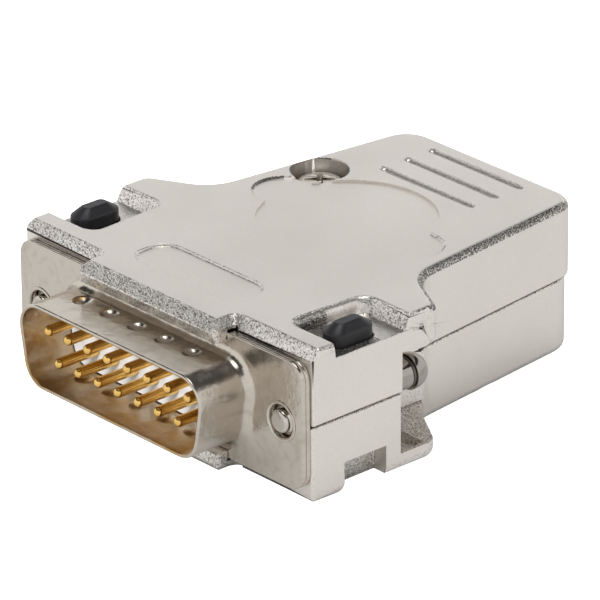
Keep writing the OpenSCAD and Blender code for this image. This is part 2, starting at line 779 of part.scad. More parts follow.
module front_shell() {
    color("silver") difference() {
        union() {
            from_front(0, plate_t) difference() {
                polygon(outline(rect_corners(flange_w, flange_h, flange_r, 6)));
                polygon(outline(d_corners(d_w, d_h, d_r), -d_flare / 2));
                both_sides() translate([screw_x, 0]) circle(eyelet_r + eyelet_wall + SEAT, $fn = SMOOTH);
            }
            collar();
            dimple_sides() intersection() {
                dimples(dimple_count, dimple_wall);
                box([-d_w / 2, -d_reach, 0], [d_w / 2, 0, d_h / 2 - sheet_t / 2]);
            }
        }
        dimple_sides() dimples(dimple_count, 0);
    }
}

// Tube round a flange hole that is rolled over in front of the front plate
module eyelet(x) {
    outer = eyelet_r + eyelet_wall;
    turned_along_y(x, [
        [eyelet_r, plate_t + 0.1], [outer, plate_t + 0.1], [outer, -SEAT], [outer + eyelet_roll, -SEAT],
        [outer + 0.7 * eyelet_roll, -0.7 * eyelet_rim], [eyelet_r + 0.6 * eyelet_wall, -eyelet_rim],
        [eyelet_r + 0.4 * eyelet_wall, -0.75 * eyelet_rim], [eyelet_r, 0]
    ]);
}

module rear_shell() {
    color("gainsboro") {
        from_front(plate_t + SEAT / 2, flange_t) difference() {
            polygon(outline(rect_corners(flange_w, flange_h, flange_r, 6)));
            polygon(outline(d_corners(rear_in_w, rear_in_h, rear_in_r)));
            both_sides() translate([screw_x, 0]) circle(eyelet_r, $fn = SMOOTH);
        }
        from_front(flange_t - TINY, flange_t + rear_depth) difference() {
            polygon(outline(d_corners(rear_w, rear_h, rear_r)));
            polygon(outline(d_corners(rear_in_w, rear_in_h, rear_in_r)));
        }
        for (side = [-1, 1]) eyelet(side * screw_x);
    }
}

// Place of contact i, counted from 1 along the upper row and then along the lower row
function pin_place(i) =
    i <= UPPER_COUNT ? [(i - (UPPER_COUNT + 1) / 2) * pin_pitch, row_gap / 2]
                     : [(i - UPPER_COUNT - (LOWER_COUNT + 1) / 2) * pin_pitch, -row_gap / 2];

module pin_holes(r, y0, y1) {
    for (i = [1 : PIN_COUNT]) translate([0, 0, pin_place(i).y]) hole_along_y(pin_place(i).x, r, y0, y1);
}

split_y = flange_t + front_block_depth;
block_end = flange_t + block_depth;
collar_y = split_y - collar_len / 2;
front_block_y = plate_t + 0.05;

module front_insulator() {
    color("gainsboro") difference() {
        union() {
            from_front(-block_face, split_y)
                polygon(outline(d_corners(d_w - 2 * sheet_t, d_h - 2 * sheet_t, d_r - sheet_t), block_gap));
            from_front(front_block_y, split_y)
                polygon(outline(d_corners(rear_in_w, rear_in_h, rear_in_r), block_play));
        }
        pin_holes(pin_r + pin_gap, -PAST, split_y + PAST);
        pin_holes(collar_r + pin_gap, collar_y - pin_gap, split_y + PAST);
    }
}

module rear_insulator() {
    color("gainsboro") difference() {
        from_front(split_y + SEAT, block_end)
            polygon(outline(d_corners(rear_in_w, rear_in_h, rear_in_r), block_play));
        pin_holes(cup_r + pin_gap, split_y - PAST, block_end + PAST);
        pin_holes(collar_r + pin_gap, split_y - PAST, collar_y + collar_len + 2 * pin_gap);
    }
}

// Turned contact: domed pin, collar held between the block's halves and an open solder cup
module contact(i) {
    cup_end = block_end + cup_len;
    tip = [for (a = [0 : 18 : 90]) [pin_r * sin(a), -pin_reach + pin_r * (1 - cos(a))]];
    color("gold") translate([0, 0, pin_place(i).y]) difference() {
        turned_along_y(pin_place(i).x, concat(tip, [
            [pin_r, collar_y], [collar_r, collar_y], [collar_r, collar_y + collar_len],
            [cup_r, collar_y + collar_len], [cup_r, cup_end], [cup_r - cup_wall, cup_end],
            [cup_r - cup_wall, block_end + 0.6], [0, block_end + 0.6]
        ]));
        box([pin_place(i).x - cup_d, block_end + 0.8, 0.1], [pin_place(i).x + cup_d, cup_end + PAST, cup_d]);
    }
}

// Captive screw: thread, neck in the keyhole, shank, ring groove and slotted dome
module jackscrew(side) {
    dome_r = head_d / 2;
    dome_y = head_y + head_rim;
    flat_a = asin(head_flat / dome_r);
    color("silver") difference() {
        turned_along_y(side * screw_x, concat(
            [[0, -tip_out], [thread_d / 2 - tip_chamfer, -tip_out], [thread_d / 2, tip_chamfer - tip_out],
             [thread_d / 2, thread_end],
             [neck_d / 2, thread_end], [neck_d / 2, neck_end], [shank_d / 2, neck_end],
             [shank_d / 2, washer_y - washer_play], [groove_r, washer_y - washer_play],
             [groove_r, head_y], [dome_r, head_y]],
            [for (k = [0 : 6]) let (a = k * (90 - flat_a) / 6) [dome_r * cos(a), dome_y + dome_r * sin(a)]],
            [[0, dome_y + dome_r * cos(flat_a)]]
        ));
        translate([side * screw_x, dome_y + dome_r, 0])
            cube([slot_w, 2 * slot_depth + 0.2, 2 * head_d], center = true);
    }
}

module screw_washer(side) {
    color("dimgray") turned_along_y(side * screw_x, [
        [groove_r + washer_gap, washer_y], [washer_r, washer_y],
        [washer_r, washer_y + washer_t], [groove_r + washer_gap, washer_y + washer_t]
    ]);
}

// Button with its ridge, the foot that holds it under the dish and the keyhole plate round the screw's neck
module release_button(side) {
    cap = rect_corners(button_w, button_len, button_r, 6);
    flat = rect_corners(button_flat_w, button_flat_len, 0.4, 6);
    color([0.13, 0.13, 0.15]) {
        translate([side * button_x, button_y, 0]) loft([
            [outline(cap), chamber_top - SEAT - TINY],
            [outline(cap), button_waist],
            [outline(cap, 0.1), button_waist + 0.1],
            [outline(flat, -0.12), button_top - 0.05],
            [outline(flat), button_top]
        ]);
        translate([side * screw_x, 0, 0]) difference() {
            union() {
                box([-plate_w / 2, button_y - foot_len / 2, chamber_top - SEAT - foot_t],
                    [plate_w / 2, button_y + foot_len / 2, chamber_top - SEAT]);
                box([-plate_w / 2, keyhole_y, -plate_foot],
                    [plate_w / 2, keyhole_y + keyhole_t, chamber_top - 0.1]);
            }
            hole_along_y(0, neck_d / 2 + keyhole_play, 0, hood_rear);
            translate([0, 0, button_travel]) hole_along_y(0, shank_d / 2 + keyhole_play, 0, hood_rear);
        }
    }
}

// Helix of round wire that ends flat on its seat and under the keyhole plate
module button_spring(side) {
    low = -spring_seat + spring_wire_r + SEAT;
    high = -plate_foot - spring_wire_r - SEAT;
    r = spring_bore_r - spring_wire_r - 0.1;
    last = spring_turns * spring_rings;
    points = [for (k = [0 : last], j = [0 : spring_sides - 1])
        let (a = 360 * k / spring_rings, b = 360 * j / spring_sides, reach = r + spring_wire_r * cos(b))
        [reach * cos(a), reach * sin(a), low + (high - low) * k / last + spring_wire_r * sin(b)]];
    n = spring_sides;
    walls = [for (k = [0 : last - 1], j = [0 : n - 1])
        let (i = (j + 1) % n, a = k * n, b = a + n)
        each [[a + j, a + i, b + i], [a + j, b + i, b + j]]];
    ends = [[for (j = [n - 1 : -1 : 0]) j], [for (j = [0 : n - 1]) last * n + j]];
    color("silver") translate([side * screw_x, button_y, 0]) polyhedron(points, concat(walls, ends));
}

upper_shell();
lower_shell();
front_shell();
rear_shell();
front_insulator();
rear_insulator();
jackscrew(-1);  // jackscrew_left
jackscrew(1);  // jackscrew_right
screw_washer(-1);  // screw_washer_left
screw_washer(1);  // screw_washer_right
release_button(-1);  // release_button_left
release_button(1);  // release_button_right
button_spring(-1);  // button_spring_left
button_spring(1);  // button_spring_right
hood_screw(0);  // hood_screw_upper
hood_screw(180);  // hood_screw_lower
cable_clamp();
clamp_screw(-1);  // clamp_screw_left
clamp_screw(1);  // clamp_screw_right
for (i = [1 : PIN_COUNT]) contact(i);
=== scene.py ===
"""Looks of a 15-way D-sub plug in a die-cast hood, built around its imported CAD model."""

import json
import math

import bmesh
import bpy
from bpy.props import FloatProperty, FloatVectorProperty, IntProperty, PointerProperty
from mathutils import Matrix, Vector

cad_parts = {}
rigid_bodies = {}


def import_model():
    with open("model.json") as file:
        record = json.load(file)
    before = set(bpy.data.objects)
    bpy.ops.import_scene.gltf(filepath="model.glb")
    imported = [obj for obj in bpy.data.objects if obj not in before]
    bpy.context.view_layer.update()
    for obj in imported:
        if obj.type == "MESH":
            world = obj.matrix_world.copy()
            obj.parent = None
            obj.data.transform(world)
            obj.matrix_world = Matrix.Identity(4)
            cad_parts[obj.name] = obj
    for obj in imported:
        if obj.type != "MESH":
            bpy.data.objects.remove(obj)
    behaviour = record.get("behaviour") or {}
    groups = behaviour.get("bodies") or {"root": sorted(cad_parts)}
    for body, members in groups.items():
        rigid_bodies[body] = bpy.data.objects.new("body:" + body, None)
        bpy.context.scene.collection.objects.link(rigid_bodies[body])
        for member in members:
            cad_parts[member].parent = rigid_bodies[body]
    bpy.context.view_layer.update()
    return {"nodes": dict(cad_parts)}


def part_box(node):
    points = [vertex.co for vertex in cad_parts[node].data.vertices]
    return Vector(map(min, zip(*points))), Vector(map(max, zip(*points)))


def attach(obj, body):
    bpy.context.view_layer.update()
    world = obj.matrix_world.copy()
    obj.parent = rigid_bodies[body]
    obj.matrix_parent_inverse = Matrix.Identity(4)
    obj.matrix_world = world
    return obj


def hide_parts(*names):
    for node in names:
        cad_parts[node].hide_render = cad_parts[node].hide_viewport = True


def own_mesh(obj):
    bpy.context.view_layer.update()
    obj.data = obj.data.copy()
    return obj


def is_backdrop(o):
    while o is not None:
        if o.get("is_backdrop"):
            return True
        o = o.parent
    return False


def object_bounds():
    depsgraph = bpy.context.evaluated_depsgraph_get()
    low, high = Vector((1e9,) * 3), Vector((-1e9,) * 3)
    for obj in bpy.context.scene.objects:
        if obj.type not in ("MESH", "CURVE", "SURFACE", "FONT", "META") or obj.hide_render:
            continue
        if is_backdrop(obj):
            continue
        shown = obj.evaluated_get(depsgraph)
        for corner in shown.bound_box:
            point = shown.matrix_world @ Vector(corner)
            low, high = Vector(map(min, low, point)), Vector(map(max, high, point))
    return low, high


bl_info = {
    "name": "D-sub plug in a metal hood",
    "version": (1, 0, 0),
    "blender": (4, 5, 0),
    "location": "View3D > Sidebar > Connector",
    "description": "Builds the finished pieces of a D-sub plug, their materials and a plain studio",
    "category": "Add Mesh",
}

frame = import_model()

MM = 0.001
WELD = 1e-6
CLOSE = 0.02 * MM
HOOD_WELD = 0.05 * MM
FLAT_ANGLE = math.radians(0.6)
SCREW_ROUND = 0.05 * MM
JACK_THREAD, HOOD_THREAD, CLAMP_THREAD = 6.9 * MM, 6 * MM, 3 * MM
SIDES = ("left", "right")
PIN_COUNT = 15
MIDDLE = Vector((0, 0.018, 0))

# Names of the masks that the materials read
EDGE_MASK = "edge"
WARM_MASK = "warm"
# Mask of painted shade in gaps and hollows and of painted dark reflections on fillets and screw heads; the
# seam line is a real dark joint
PAINTED_SHADE_MASK = "painted_shade"

# Places on the CAD model, in mm from its origin
TOP = 7.55
SCREW_X, EYELET_R = 16.66, 1.58
DISC_Y, DISC_R = 23.25, 8.55
PIT_Y, PIT_Z, PIT_R = 14.15, 5.87, 0.35
LIP_X, BEVEL_FOOT = 9.5, 6.75
FILLET_X, FILLET_Y, FILLET_R = 9.9, 0.6, 0.4
NOTCH_X, NOTCH_SHADE = 18.0, -5.55
DISH_WALL_SHADE, DISH_FLOOR_SHADE = 8.0, 9.3
SEAM_Z = 0.11

# Zones of the hood, in mm, as ranges of the distance from its middle, of y and of z
FAR = 100.0
ANY = (-FAR, FAR)
SHOULDER_BEVEL = ((9.88, FAR), (-FAR, 1.82), (6.74, 7.54))
SHOULDER_FRONT = (ANY, (0.9, 1.1), (6.4, 6.75))
SHOULDER_EDGE = ((9.8, FAR), (0.9, 1.1), (6.3, 6.6))
SHOULDER_CORNER = ((19.1, FAR), (14.7, 15.7), (4.9, FAR))
LIP_END = ((9.1, 9.95), (-1.45, 1.05), ANY)
LIP_SIDE = ((8.5, 9.9), (-FAR, 1.9), ANY)
LIP_NOSE = ((8.4, 9.95), (-1.5, 1.9), (6.3, FAR))
FLANGE_GAP = (ANY, (0.9, 3.0), (6.3, 6.55))
BEHIND_FLANGE = (ANY, (1.1, 3.0), ANY)
NOTCH_END = ((16.9, 17.1), (8.3, 10.1), (-FAR, -4.6))
NOTCH_WALL = ((17.9, 18.1), ANY, (-FAR, -4.6))
NOTCH_CURVE = ((17.9, 18.1), (3.9, 5.0), (-FAR, -6.7))
DISH_WALL = ((13.4, 14.4), (4.2, 12.6), (6.0, 7.5))
DISH_FLOOR = ((13.8, FAR), (3.6, 12.1), (6.05, 6.15))
WINDOW = ((14.0, FAR), (11.8, 20.0), (-FAR, 0.0))
WINDOW_FLOOR = ((14.0, FAR), (11.8, 20.0), (-7.0, 0.0))
SIDE_FILLET = ((11.0, FAR), (15.0, FAR), (6.0, FAR))
GRIPS = ((-FAR, 10.0), (30.0, FAR), ANY)
PIT = ((19.4, FAR), (13.65, 14.65), (5.37, 6.37))
HOLLOW = (ANY, (1.2, 40.3), (-6.2, 6.2))

# Share by which the shoulders' front bevel grows downwards
BEVEL_GROWTH = 0.31

# How far a face's normal points one way when it counts as facing it, as level, and as slanted or tilted
FACING = 0.9
LEVEL = 0.96
SLANTED = 0.45
TILTED = 0.12

# How speckled the plate is at each place
SPECKLE = {
    "lip": 0.8,
    "dish front": 0.9,
    "dish rear": 0.3,
    "window wall": 0.35,
    "window floor": 1.0,
    "notch": 0.8,
    "grip": 0.4,
    "foot": 0.6,
    "bevel": 1.0,
    "slope": 0.3,
    "flat": 0.0,
    "corner": 0.15,
}

# How much painted shade each place takes: shade in gaps, hollows, dish fronts and on the jackscrew heads, a
# dark reflection on the side fillets, and the real dark seam between the halves
PAINTED_SHADE = {
    "gap": 1.0,
    "dish front": 0.6,
    "window floor": 0.15,
    "fillet": 0.85,
    "notch": 0.3,
    "unshaded": 0.0,
    "rear plate": 0.4,
    "front plate": 0.1,
    "screw head": 0.4,
}


def middle_of(node):
    """Middle of a CAD node's box."""
    low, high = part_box(node)
    return (low + high) / 2


def within(at, zone, both_halves=False):
    """True where at, in mm, lies in a zone, which is on both sides of the hood and may be on both halves."""
    place = (abs(at.x), at.y, abs(at.z) if both_halves else at.z)
    return all(low < value < high for value, (low, high) in zip(place, zone))


# Settings


def size(name, text, default, low, high):
    return FloatProperty(
        name=name, description=text, default=default, min=low, max=high, unit="LENGTH", precision=5
    )


def share(name, text, default, low=0.0, high=1.0):
    return FloatProperty(name=name, description=text, default=default, min=low, max=high, subtype="FACTOR")


def colour(name, text, default):
    return FloatVectorProperty(
        name=name, description=text, default=default, size=3, min=0, max=1, subtype="COLOR"
    )


class HoodSettings(bpy.types.PropertyGroup):
    edge_round: size("Edge rounding", "Rounding of the casting's small edges", 0.12 * MM, 0, 0.3 * MM)
    lip_end: size("Lip end bevel", "Bevel over the ends of the lips", 0.8 * MM, 0.2 * MM, 0.8 * MM)
    metal: colour("Nickel", "Colour of the satin nickel plate", (0.82, 0.78, 0.73))
    worn: colour("Nickel, low spots", "Colour of the plate in the low spots of the grain", (0.54, 0.50, 0.45))
    bright: colour("Nickel, rubbed", "Colour of the rubbed high spots along the edges", (0.92, 0.90, 0.87))
    # Painted shade colour, mixed in by the painted shade mask in the casting's gaps, hollows and fillets
    painted_shade: colour("Painted shade", "Colour of the narrow gaps in the casting", (0.035, 0.03, 0.026))
    dark: colour("Nickel, pits", "Colour of the dark pits along the edges", (0.16, 0.14, 0.12))
    roughness: share("Roughness", "Roughness of the satin plate", 0.36)
    grain: size("Grain size", "Size of the cast grain", 0.17 * MM, 0.05 * MM, 1 * MM)
    grain_depth: size("Grain depth", "Height of the cast grain", 0.016 * MM, 0, 0.1 * MM)


class PlugSettings(bpy.types.PropertyGroup):
    sheet_round: size("Sheet edge rounding", "Rounding of the sheet's edges", 0.1 * MM, 0, 0.15 * MM)
    flare: share("Eyelet flare", "How many times wider the eyelets' rolled rims are", 2.1, 1, 2.5)
    sheet: colour("Sheet nickel", "Colour of the plated sheet", (0.60, 0.55, 0.485))
    stain: colour("Sheet stain", "Colour of the faint stains on the sheet", (0.34, 0.29, 0.235))
    warm: colour("Tarnish", "Colour of the warm tarnish inside the collar", (0.46, 0.28, 0.085))
    gold: colour("Gold", "Colour of the contacts", (0.90, 0.60, 0.19))
    gold_deep: colour("Deep gold", "Colour of the contacts where the plate is thicker", (0.66, 0.36, 0.08))
    block: colour("Contact block", "Colour of the moulded contact block", (0.92, 0.92, 0.90))


class ScrewSettings(bpy.types.PropertyGroup):
    steel: colour("Screw nickel", "Colour of the polished screws", (0.58, 0.55, 0.50))
    dark: colour("Dark steel", "Colour of the washers and springs", (0.28, 0.25, 0.215))
    jack_crest: size("Jackscrew thread", "Radius of the jackscrews' thread", 1.42 * MM, 1 * MM, 1.42 * MM)
    hood_crest: size("Hood screw thread", "Radius of the hood screws' thread", 1.25 * MM, 1 * MM, 1.25 * MM)
    clamp_crest: size("Clamp screw thread", "Radius of the clamp screws' thread", 1 * MM, 0.8 * MM, 1 * MM)
    jack_pitch: size("Jackscrew pitch", "Thread pitch of the jackscrews", 0.635 * MM, 0.3 * MM, 1 * MM)
    hood_pitch: size("Hood screw pitch", "Thread pitch of the hood screws", 0.45 * MM, 0.3 * MM, 1 * MM)
    clamp_pitch: size("Clamp screw pitch", "Thread pitch of the clamp screws", 0.4 * MM, 0.3 * MM, 1 * MM)
    thread_steps: IntProperty(
        name="Thread steps", description="Steps in each turn of a thread", default=24, min=8, max=48
    )


class ButtonSettings(bpy.types.PropertyGroup):
    plastic: colour("Button plastic", "Colour of the moulded buttons", (0.008, 0.008, 0.010))
    edge_round: size("Edge rounding", "Rounding of the buttons' edges", 0.09 * MM, 0, 0.3 * MM)
    wire: size("Spring wire", "Diameter of the spring's wire", 0.22 * MM, 0.1 * MM, 0.3 * MM)
    turns: IntProperty(name="Spring turns", description="Turns of each spring", default=5, min=3, max=8)


class StudioSettings(bpy.types.PropertyGroup):
    surround: share("Surround", "Strength of the light from all round", 0.80, 0, 2)
    flag: colour("Ceiling", "Colour of the dark ring over the table", (0.035, 0.033, 0.03))


GROUPS = {
    "dsub_hood": HoodSettings,
    "dsub_plug": PlugSettings,
    "dsub_screws": ScrewSettings,
    "dsub_buttons": ButtonSettings,
    "dsub_studio": StudioSettings,
}


# Shader helpers


def add(tree, kind, **settings):
    """A new shader node; settings are its own attributes, or its inputs by name with _ for a space."""
    made = tree.nodes.new(kind)
    for key, value in settings.items():
        if hasattr(made, key):
            setattr(made, key, value)
        else:
            made.inputs[key.replace("_", " ")].default_value = value
    return made


def wire(tree, source, target):
    tree.links.new(source, target)


def maths(tree, operation, a, b):
    """Output of a Math node over two sockets or numbers."""
    made = add(tree, "ShaderNodeMath", operation=operation)
    for i, value in enumerate((a, b)):
        if isinstance(value, bpy.types.NodeSocket):
            wire(tree, value, made.inputs[i])
        else:
            made.inputs[i].default_value = value
    return made.outputs[0]


def mapped(tree, value, low, high, to_low, to_high):
    """value taken from low..high to to_low..to_high, and held at the ends."""
    made = add(tree, "ShaderNodeMapRange")
    wire(tree, value, made.inputs["Value"])
    for key, number in (("From Min", low), ("From Max", high), ("To Min", to_low), ("To Max", to_high)):
        made.inputs[key].default_value = number
    return made.outputs["Result"]


def mixed(tree, factor, a, b):
    """Colour between a and b."""
    made = add(tree, "ShaderNodeMix", data_type="RGBA")
    wire(tree, factor, made.inputs["Factor"])
    for key, value in (("A", a), ("B", b)):
        socket = next(s for s in made.inputs if s.name == key and s.type == "RGBA")
        if isinstance(value, bpy.types.NodeSocket):
            wire(tree, value, socket)
        else:
            socket.default_value = (*value, 1)
    return next(s for s in made.outputs if s.type == "RGBA")


def noise(tree, place, scale, detail=2.0, roughness=0.5):
    made = add(tree, "ShaderNodeTexNoise", Scale=scale, Detail=detail, Roughness=roughness)
    wire(tree, place, made.inputs["Vector"])
    return made.outputs["Fac"]


def new_group(name, inputs, outputs):
    """An empty shader group with (name, socket kind, default) inputs and (name, socket kind) outputs."""
    tree = bpy.data.node_groups.new(name, "ShaderNodeTree")
    for label, kind, default in inputs:
        socket = tree.interface.new_socket(name=label, in_out="INPUT", socket_type=kind)
        if default is not None:
            socket.default_value = default
    for label, kind in outputs:
        tree.interface.new_socket(name=label, in_out="OUTPUT", socket_type=kind)
    return tree, tree.nodes.new("NodeGroupInput"), tree.nodes.new("NodeGroupOutput")


def cast_grain():
    """Grain of a casting: a height of rounded lumps, and a mask of its low spots."""
    name = "cast grain"
    if name in bpy.data.node_groups:
        return bpy.data.node_groups[name]
    tree, inside, outside = new_group(
        name,
        [("Place", "NodeSocketVector", None), ("Grains per metre", "NodeSocketFloat", 5000.0)],
        [("Height", "NodeSocketFloat"), ("Low spots", "NodeSocketFloat")],
    )
    lumps = add(tree, "ShaderNodeTexVoronoi", feature="SMOOTH_F1", Smoothness=0.6)
    wire(tree, inside.outputs["Place"], lumps.inputs["Vector"])
    wire(tree, inside.outputs["Grains per metre"], lumps.inputs["Scale"])
    fine = add(tree, "ShaderNodeTexNoise", Detail=3.0, Roughness=0.6)
    wire(tree, inside.outputs["Place"], fine.inputs["Vector"])
    wire(tree, inside.outputs["Grains per metre"], fine.inputs["Scale"])
    sum_of = maths(tree, "ADD", maths(tree, "MULTIPLY", lumps.outputs["Distance"], -0.8), fine.outputs["Fac"])
    wire(tree, sum_of, outside.inputs["Height"])
    wire(tree, mapped(tree, sum_of, -0.05, 0.25, 1.0, 0.0), outside.inputs["Low spots"])
    return tree


def edge_specks():
    """Bright rubbed spots and dark pits, as two masks."""
    name = "edge specks"
    if name in bpy.data.node_groups:
        return bpy.data.node_groups[name]
    tree, inside, outside = new_group(
        name,
        [("Place", "NodeSocketVector", None), ("Specks per metre", "NodeSocketFloat", 5000.0)],
        [("Bright", "NodeSocketFloat"), ("Dark", "NodeSocketFloat")],
    )
    for label, factor, least in (("Bright", 1.1, 0.50), ("Dark", 0.85, 0.53)):
        spots = add(tree, "ShaderNodeTexNoise", Detail=2.0, Roughness=0.65, Distortion=0.3)
        wire(tree, inside.outputs["Place"], spots.inputs["Vector"])
        wire(tree, maths(tree, "MULTIPLY", inside.outputs["Specks per metre"], factor), spots.inputs["Scale"])
        wire(tree, mapped(tree, spots.outputs["Fac"], least, least + 0.07, 0.0, 0.85), outside.inputs[label])
    return tree


def cloudy_tone():
    """Slow changes of tone over a plated surface, and a mask of a few faint stains."""
    name = "cloudy tone"
    if name in bpy.data.node_groups:
        return bpy.data.node_groups[name]
    tree, inside, outside = new_group(
        name,
        [("Place", "NodeSocketVector", None), ("Clouds per metre", "NodeSocketFloat", 150.0)],
        [("Tone", "NodeSocketFloat"), ("Stains", "NodeSocketFloat")],
    )
    clouds = add(tree, "ShaderNodeTexNoise", Detail=4.0, Roughness=0.55)
    wire(tree, inside.outputs["Place"], clouds.inputs["Vector"])
    wire(tree, inside.outputs["Clouds per metre"], clouds.inputs["Scale"])
    stains = add(tree, "ShaderNodeTexNoise", Detail=5.0, Roughness=0.7)
    wire(tree, inside.outputs["Place"], stains.inputs["Vector"])
    wire(tree, maths(tree, "MULTIPLY", inside.outputs["Clouds per metre"], 2.6), stains.inputs["Scale"])
    wire(tree, mapped(tree, clouds.outputs["Fac"], 0.3, 0.7, 0.0, 1.0), outside.inputs["Tone"])
    wire(tree, mapped(tree, stains.outputs["Fac"], 0.56, 0.74, 0.0, 1.0), outside.inputs["Stains"])
    return tree


def fine_lines():
    """Fine turning or drawing lines across the given direction, as a height."""
    name = "fine lines"
    if name in bpy.data.node_groups:
        return bpy.data.node_groups[name]
    tree, inside, outside = new_group(
        name,
        [
            ("Place", "NodeSocketVector", None),
            ("Stretch", "NodeSocketVector", (1.0, 1.0, 1.0)),
            ("Lines per metre", "NodeSocketFloat", 9000.0),
        ],
        [("Height", "NodeSocketFloat")],
    )
    squeeze = add(tree, "ShaderNodeVectorMath", operation="MULTIPLY")
    wire(tree, inside.outputs["Place"], squeeze.inputs[0])
    wire(tree, inside.outputs["Stretch"], squeeze.inputs[1])
    lines = add(tree, "ShaderNodeTexNoise", Detail=2.0, Roughness=0.5)
    wire(tree, squeeze.outputs[0], lines.inputs["Vector"])
    wire(tree, inside.outputs["Lines per metre"], lines.inputs["Scale"])
    wire(tree, lines.outputs["Fac"], outside.inputs["Height"])
    return tree


def new_material(name, **values):
    """A material with its plain inputs set; returns it, its tree, its shader and the object coordinates."""
    made = bpy.data.materials.new(name)
    made.use_nodes = True
    tree = made.node_tree
    shader = tree.nodes["Principled BSDF"]
    for key, value in values.items():
        socket = shader.inputs[key.replace("_", " ")]
        socket.default_value = (*value, 1) if isinstance(value, tuple) and len(value) == 3 else value
    place = tree.nodes.new("ShaderNodeTexCoord").outputs["Object"]
    return made, tree, shader, place


def use_group(tree, group, place, **values):
    made = add(tree, "ShaderNodeGroup", node_tree=group)
    wire(tree, place, made.inputs["Place"])
    for key, value in values.items():
        made.inputs[key.replace("_", " ")].default_value = value
    return made


def bump(tree, shader, height, distance, strength=1.0):
    made = add(tree, "ShaderNodeBump", Strength=strength, Distance=distance)
    wire(tree, height, made.inputs["Height"])
    wire(tree, made.outputs["Normal"], shader.inputs["Normal"])


# Materials


def cast_nickel():
    own = bpy.context.scene.dsub_hood
    made, tree, shader, place = new_material("satin nickel on casting", Metallic=1.0)
    grain = use_group(tree, cast_grain(), place, Grains_per_metre=1 / own.grain)
    tone = use_group(tree, cloudy_tone(), place, Clouds_per_metre=90.0)
    specks = use_group(tree, edge_specks(), place, Specks_per_metre=1 / own.grain)
    edge = add(tree, "ShaderNodeAttribute", attribute_name=EDGE_MASK).outputs["Fac"]
    low = maths(tree, "MULTIPLY", grain.outputs["Low spots"], mapped(tree, edge, 0, 1, 0.10, 0.55))
    base = mixed(tree, low, tuple(own.metal), tuple(own.worn))
    clouded = mixed(tree, maths(tree, "MULTIPLY", tone.outputs["Tone"], 0.08), base, tuple(own.worn))
    # Painted shade: the mask darkens the plate towards the shade colour in gaps and hollows, and paints a
    # dark reflection on the side fillets
    painted_shade = add(tree, "ShaderNodeAttribute", attribute_name=PAINTED_SHADE_MASK).outputs["Fac"]
    shade_painted = mixed(tree, painted_shade, clouded, tuple(own.painted_shade))
    rubbed = mixed(tree, maths(tree, "MULTIPLY", specks.outputs["Bright"], edge), shade_painted, tuple(own.bright))
    pitted = mixed(tree, maths(tree, "MULTIPLY", specks.outputs["Dark"], edge), rubbed, tuple(own.dark))
    wire(tree, pitted, shader.inputs["Base Color"])
    rough = maths(tree, "ADD", own.roughness, maths(tree, "MULTIPLY", tone.outputs["Tone"], 0.05))
    wire(tree, maths(tree, "SUBTRACT", rough, maths(tree, "MULTIPLY", edge, 0.1)), shader.inputs["Roughness"])
    height = maths(tree, "MULTIPLY", grain.outputs["Height"], mapped(tree, edge, 0, 1, 0.35, 2.8))
    bump(tree, shader, height, own.grain_depth)
    return made


def plated_sheet():
    own = bpy.context.scene.dsub_plug
    made, tree, shader, place = new_material("bright nickel on drawn steel", Metallic=1.0)
    tone = use_group(tree, cloudy_tone(), place, Clouds_per_metre=110.0)
    smear = use_group(tree, cloudy_tone(), place, Clouds_per_metre=260.0)
    lines = use_group(tree, fine_lines(), place, Lines_per_metre=4000.0, Stretch=(1.0, 0.12, 1.0))
    streaks = use_group(tree, fine_lines(), place, Lines_per_metre=1300.0, Stretch=(1.0, 0.16, 1.0))
    warm = add(tree, "ShaderNodeAttribute", attribute_name=WARM_MASK).outputs["Fac"]
    stained = mixed(
        tree, maths(tree, "MULTIPLY", tone.outputs["Stains"], 0.4), tuple(own.sheet), tuple(own.stain)
    )
    streaked = mixed(
        tree, mapped(tree, streaks.outputs["Height"], 0.5, 0.75, 0.0, 0.3), stained, tuple(own.stain)
    )
    blotch = maths(tree, "MULTIPLY", mapped(tree, smear.outputs["Tone"], 0.2, 0.9, 0.35, 1.0), warm)
    tarnished = mixed(tree, blotch, streaked, tuple(own.warm))
    # Painted shade: the mask darkens the plates' edges under the hood nearly to black
    painted_shade = add(tree, "ShaderNodeAttribute", attribute_name=PAINTED_SHADE_MASK).outputs["Fac"]
    wire(tree, mixed(tree, painted_shade, tarnished, tuple(0.06 * c for c in own.stain)), shader.inputs["Base Color"])
    rough = mapped(tree, tone.outputs["Tone"], 0, 1, 0.16, 0.27)
    wire(tree, maths(tree, "ADD", rough, maths(tree, "MULTIPLY", warm, 0.12)), shader.inputs["Roughness"])
    waves = maths(tree, "ADD", smear.outputs["Tone"], maths(tree, "MULTIPLY", lines.outputs["Height"], 0.06))
    bump(tree, shader, waves, 0.07 * MM)
    return made


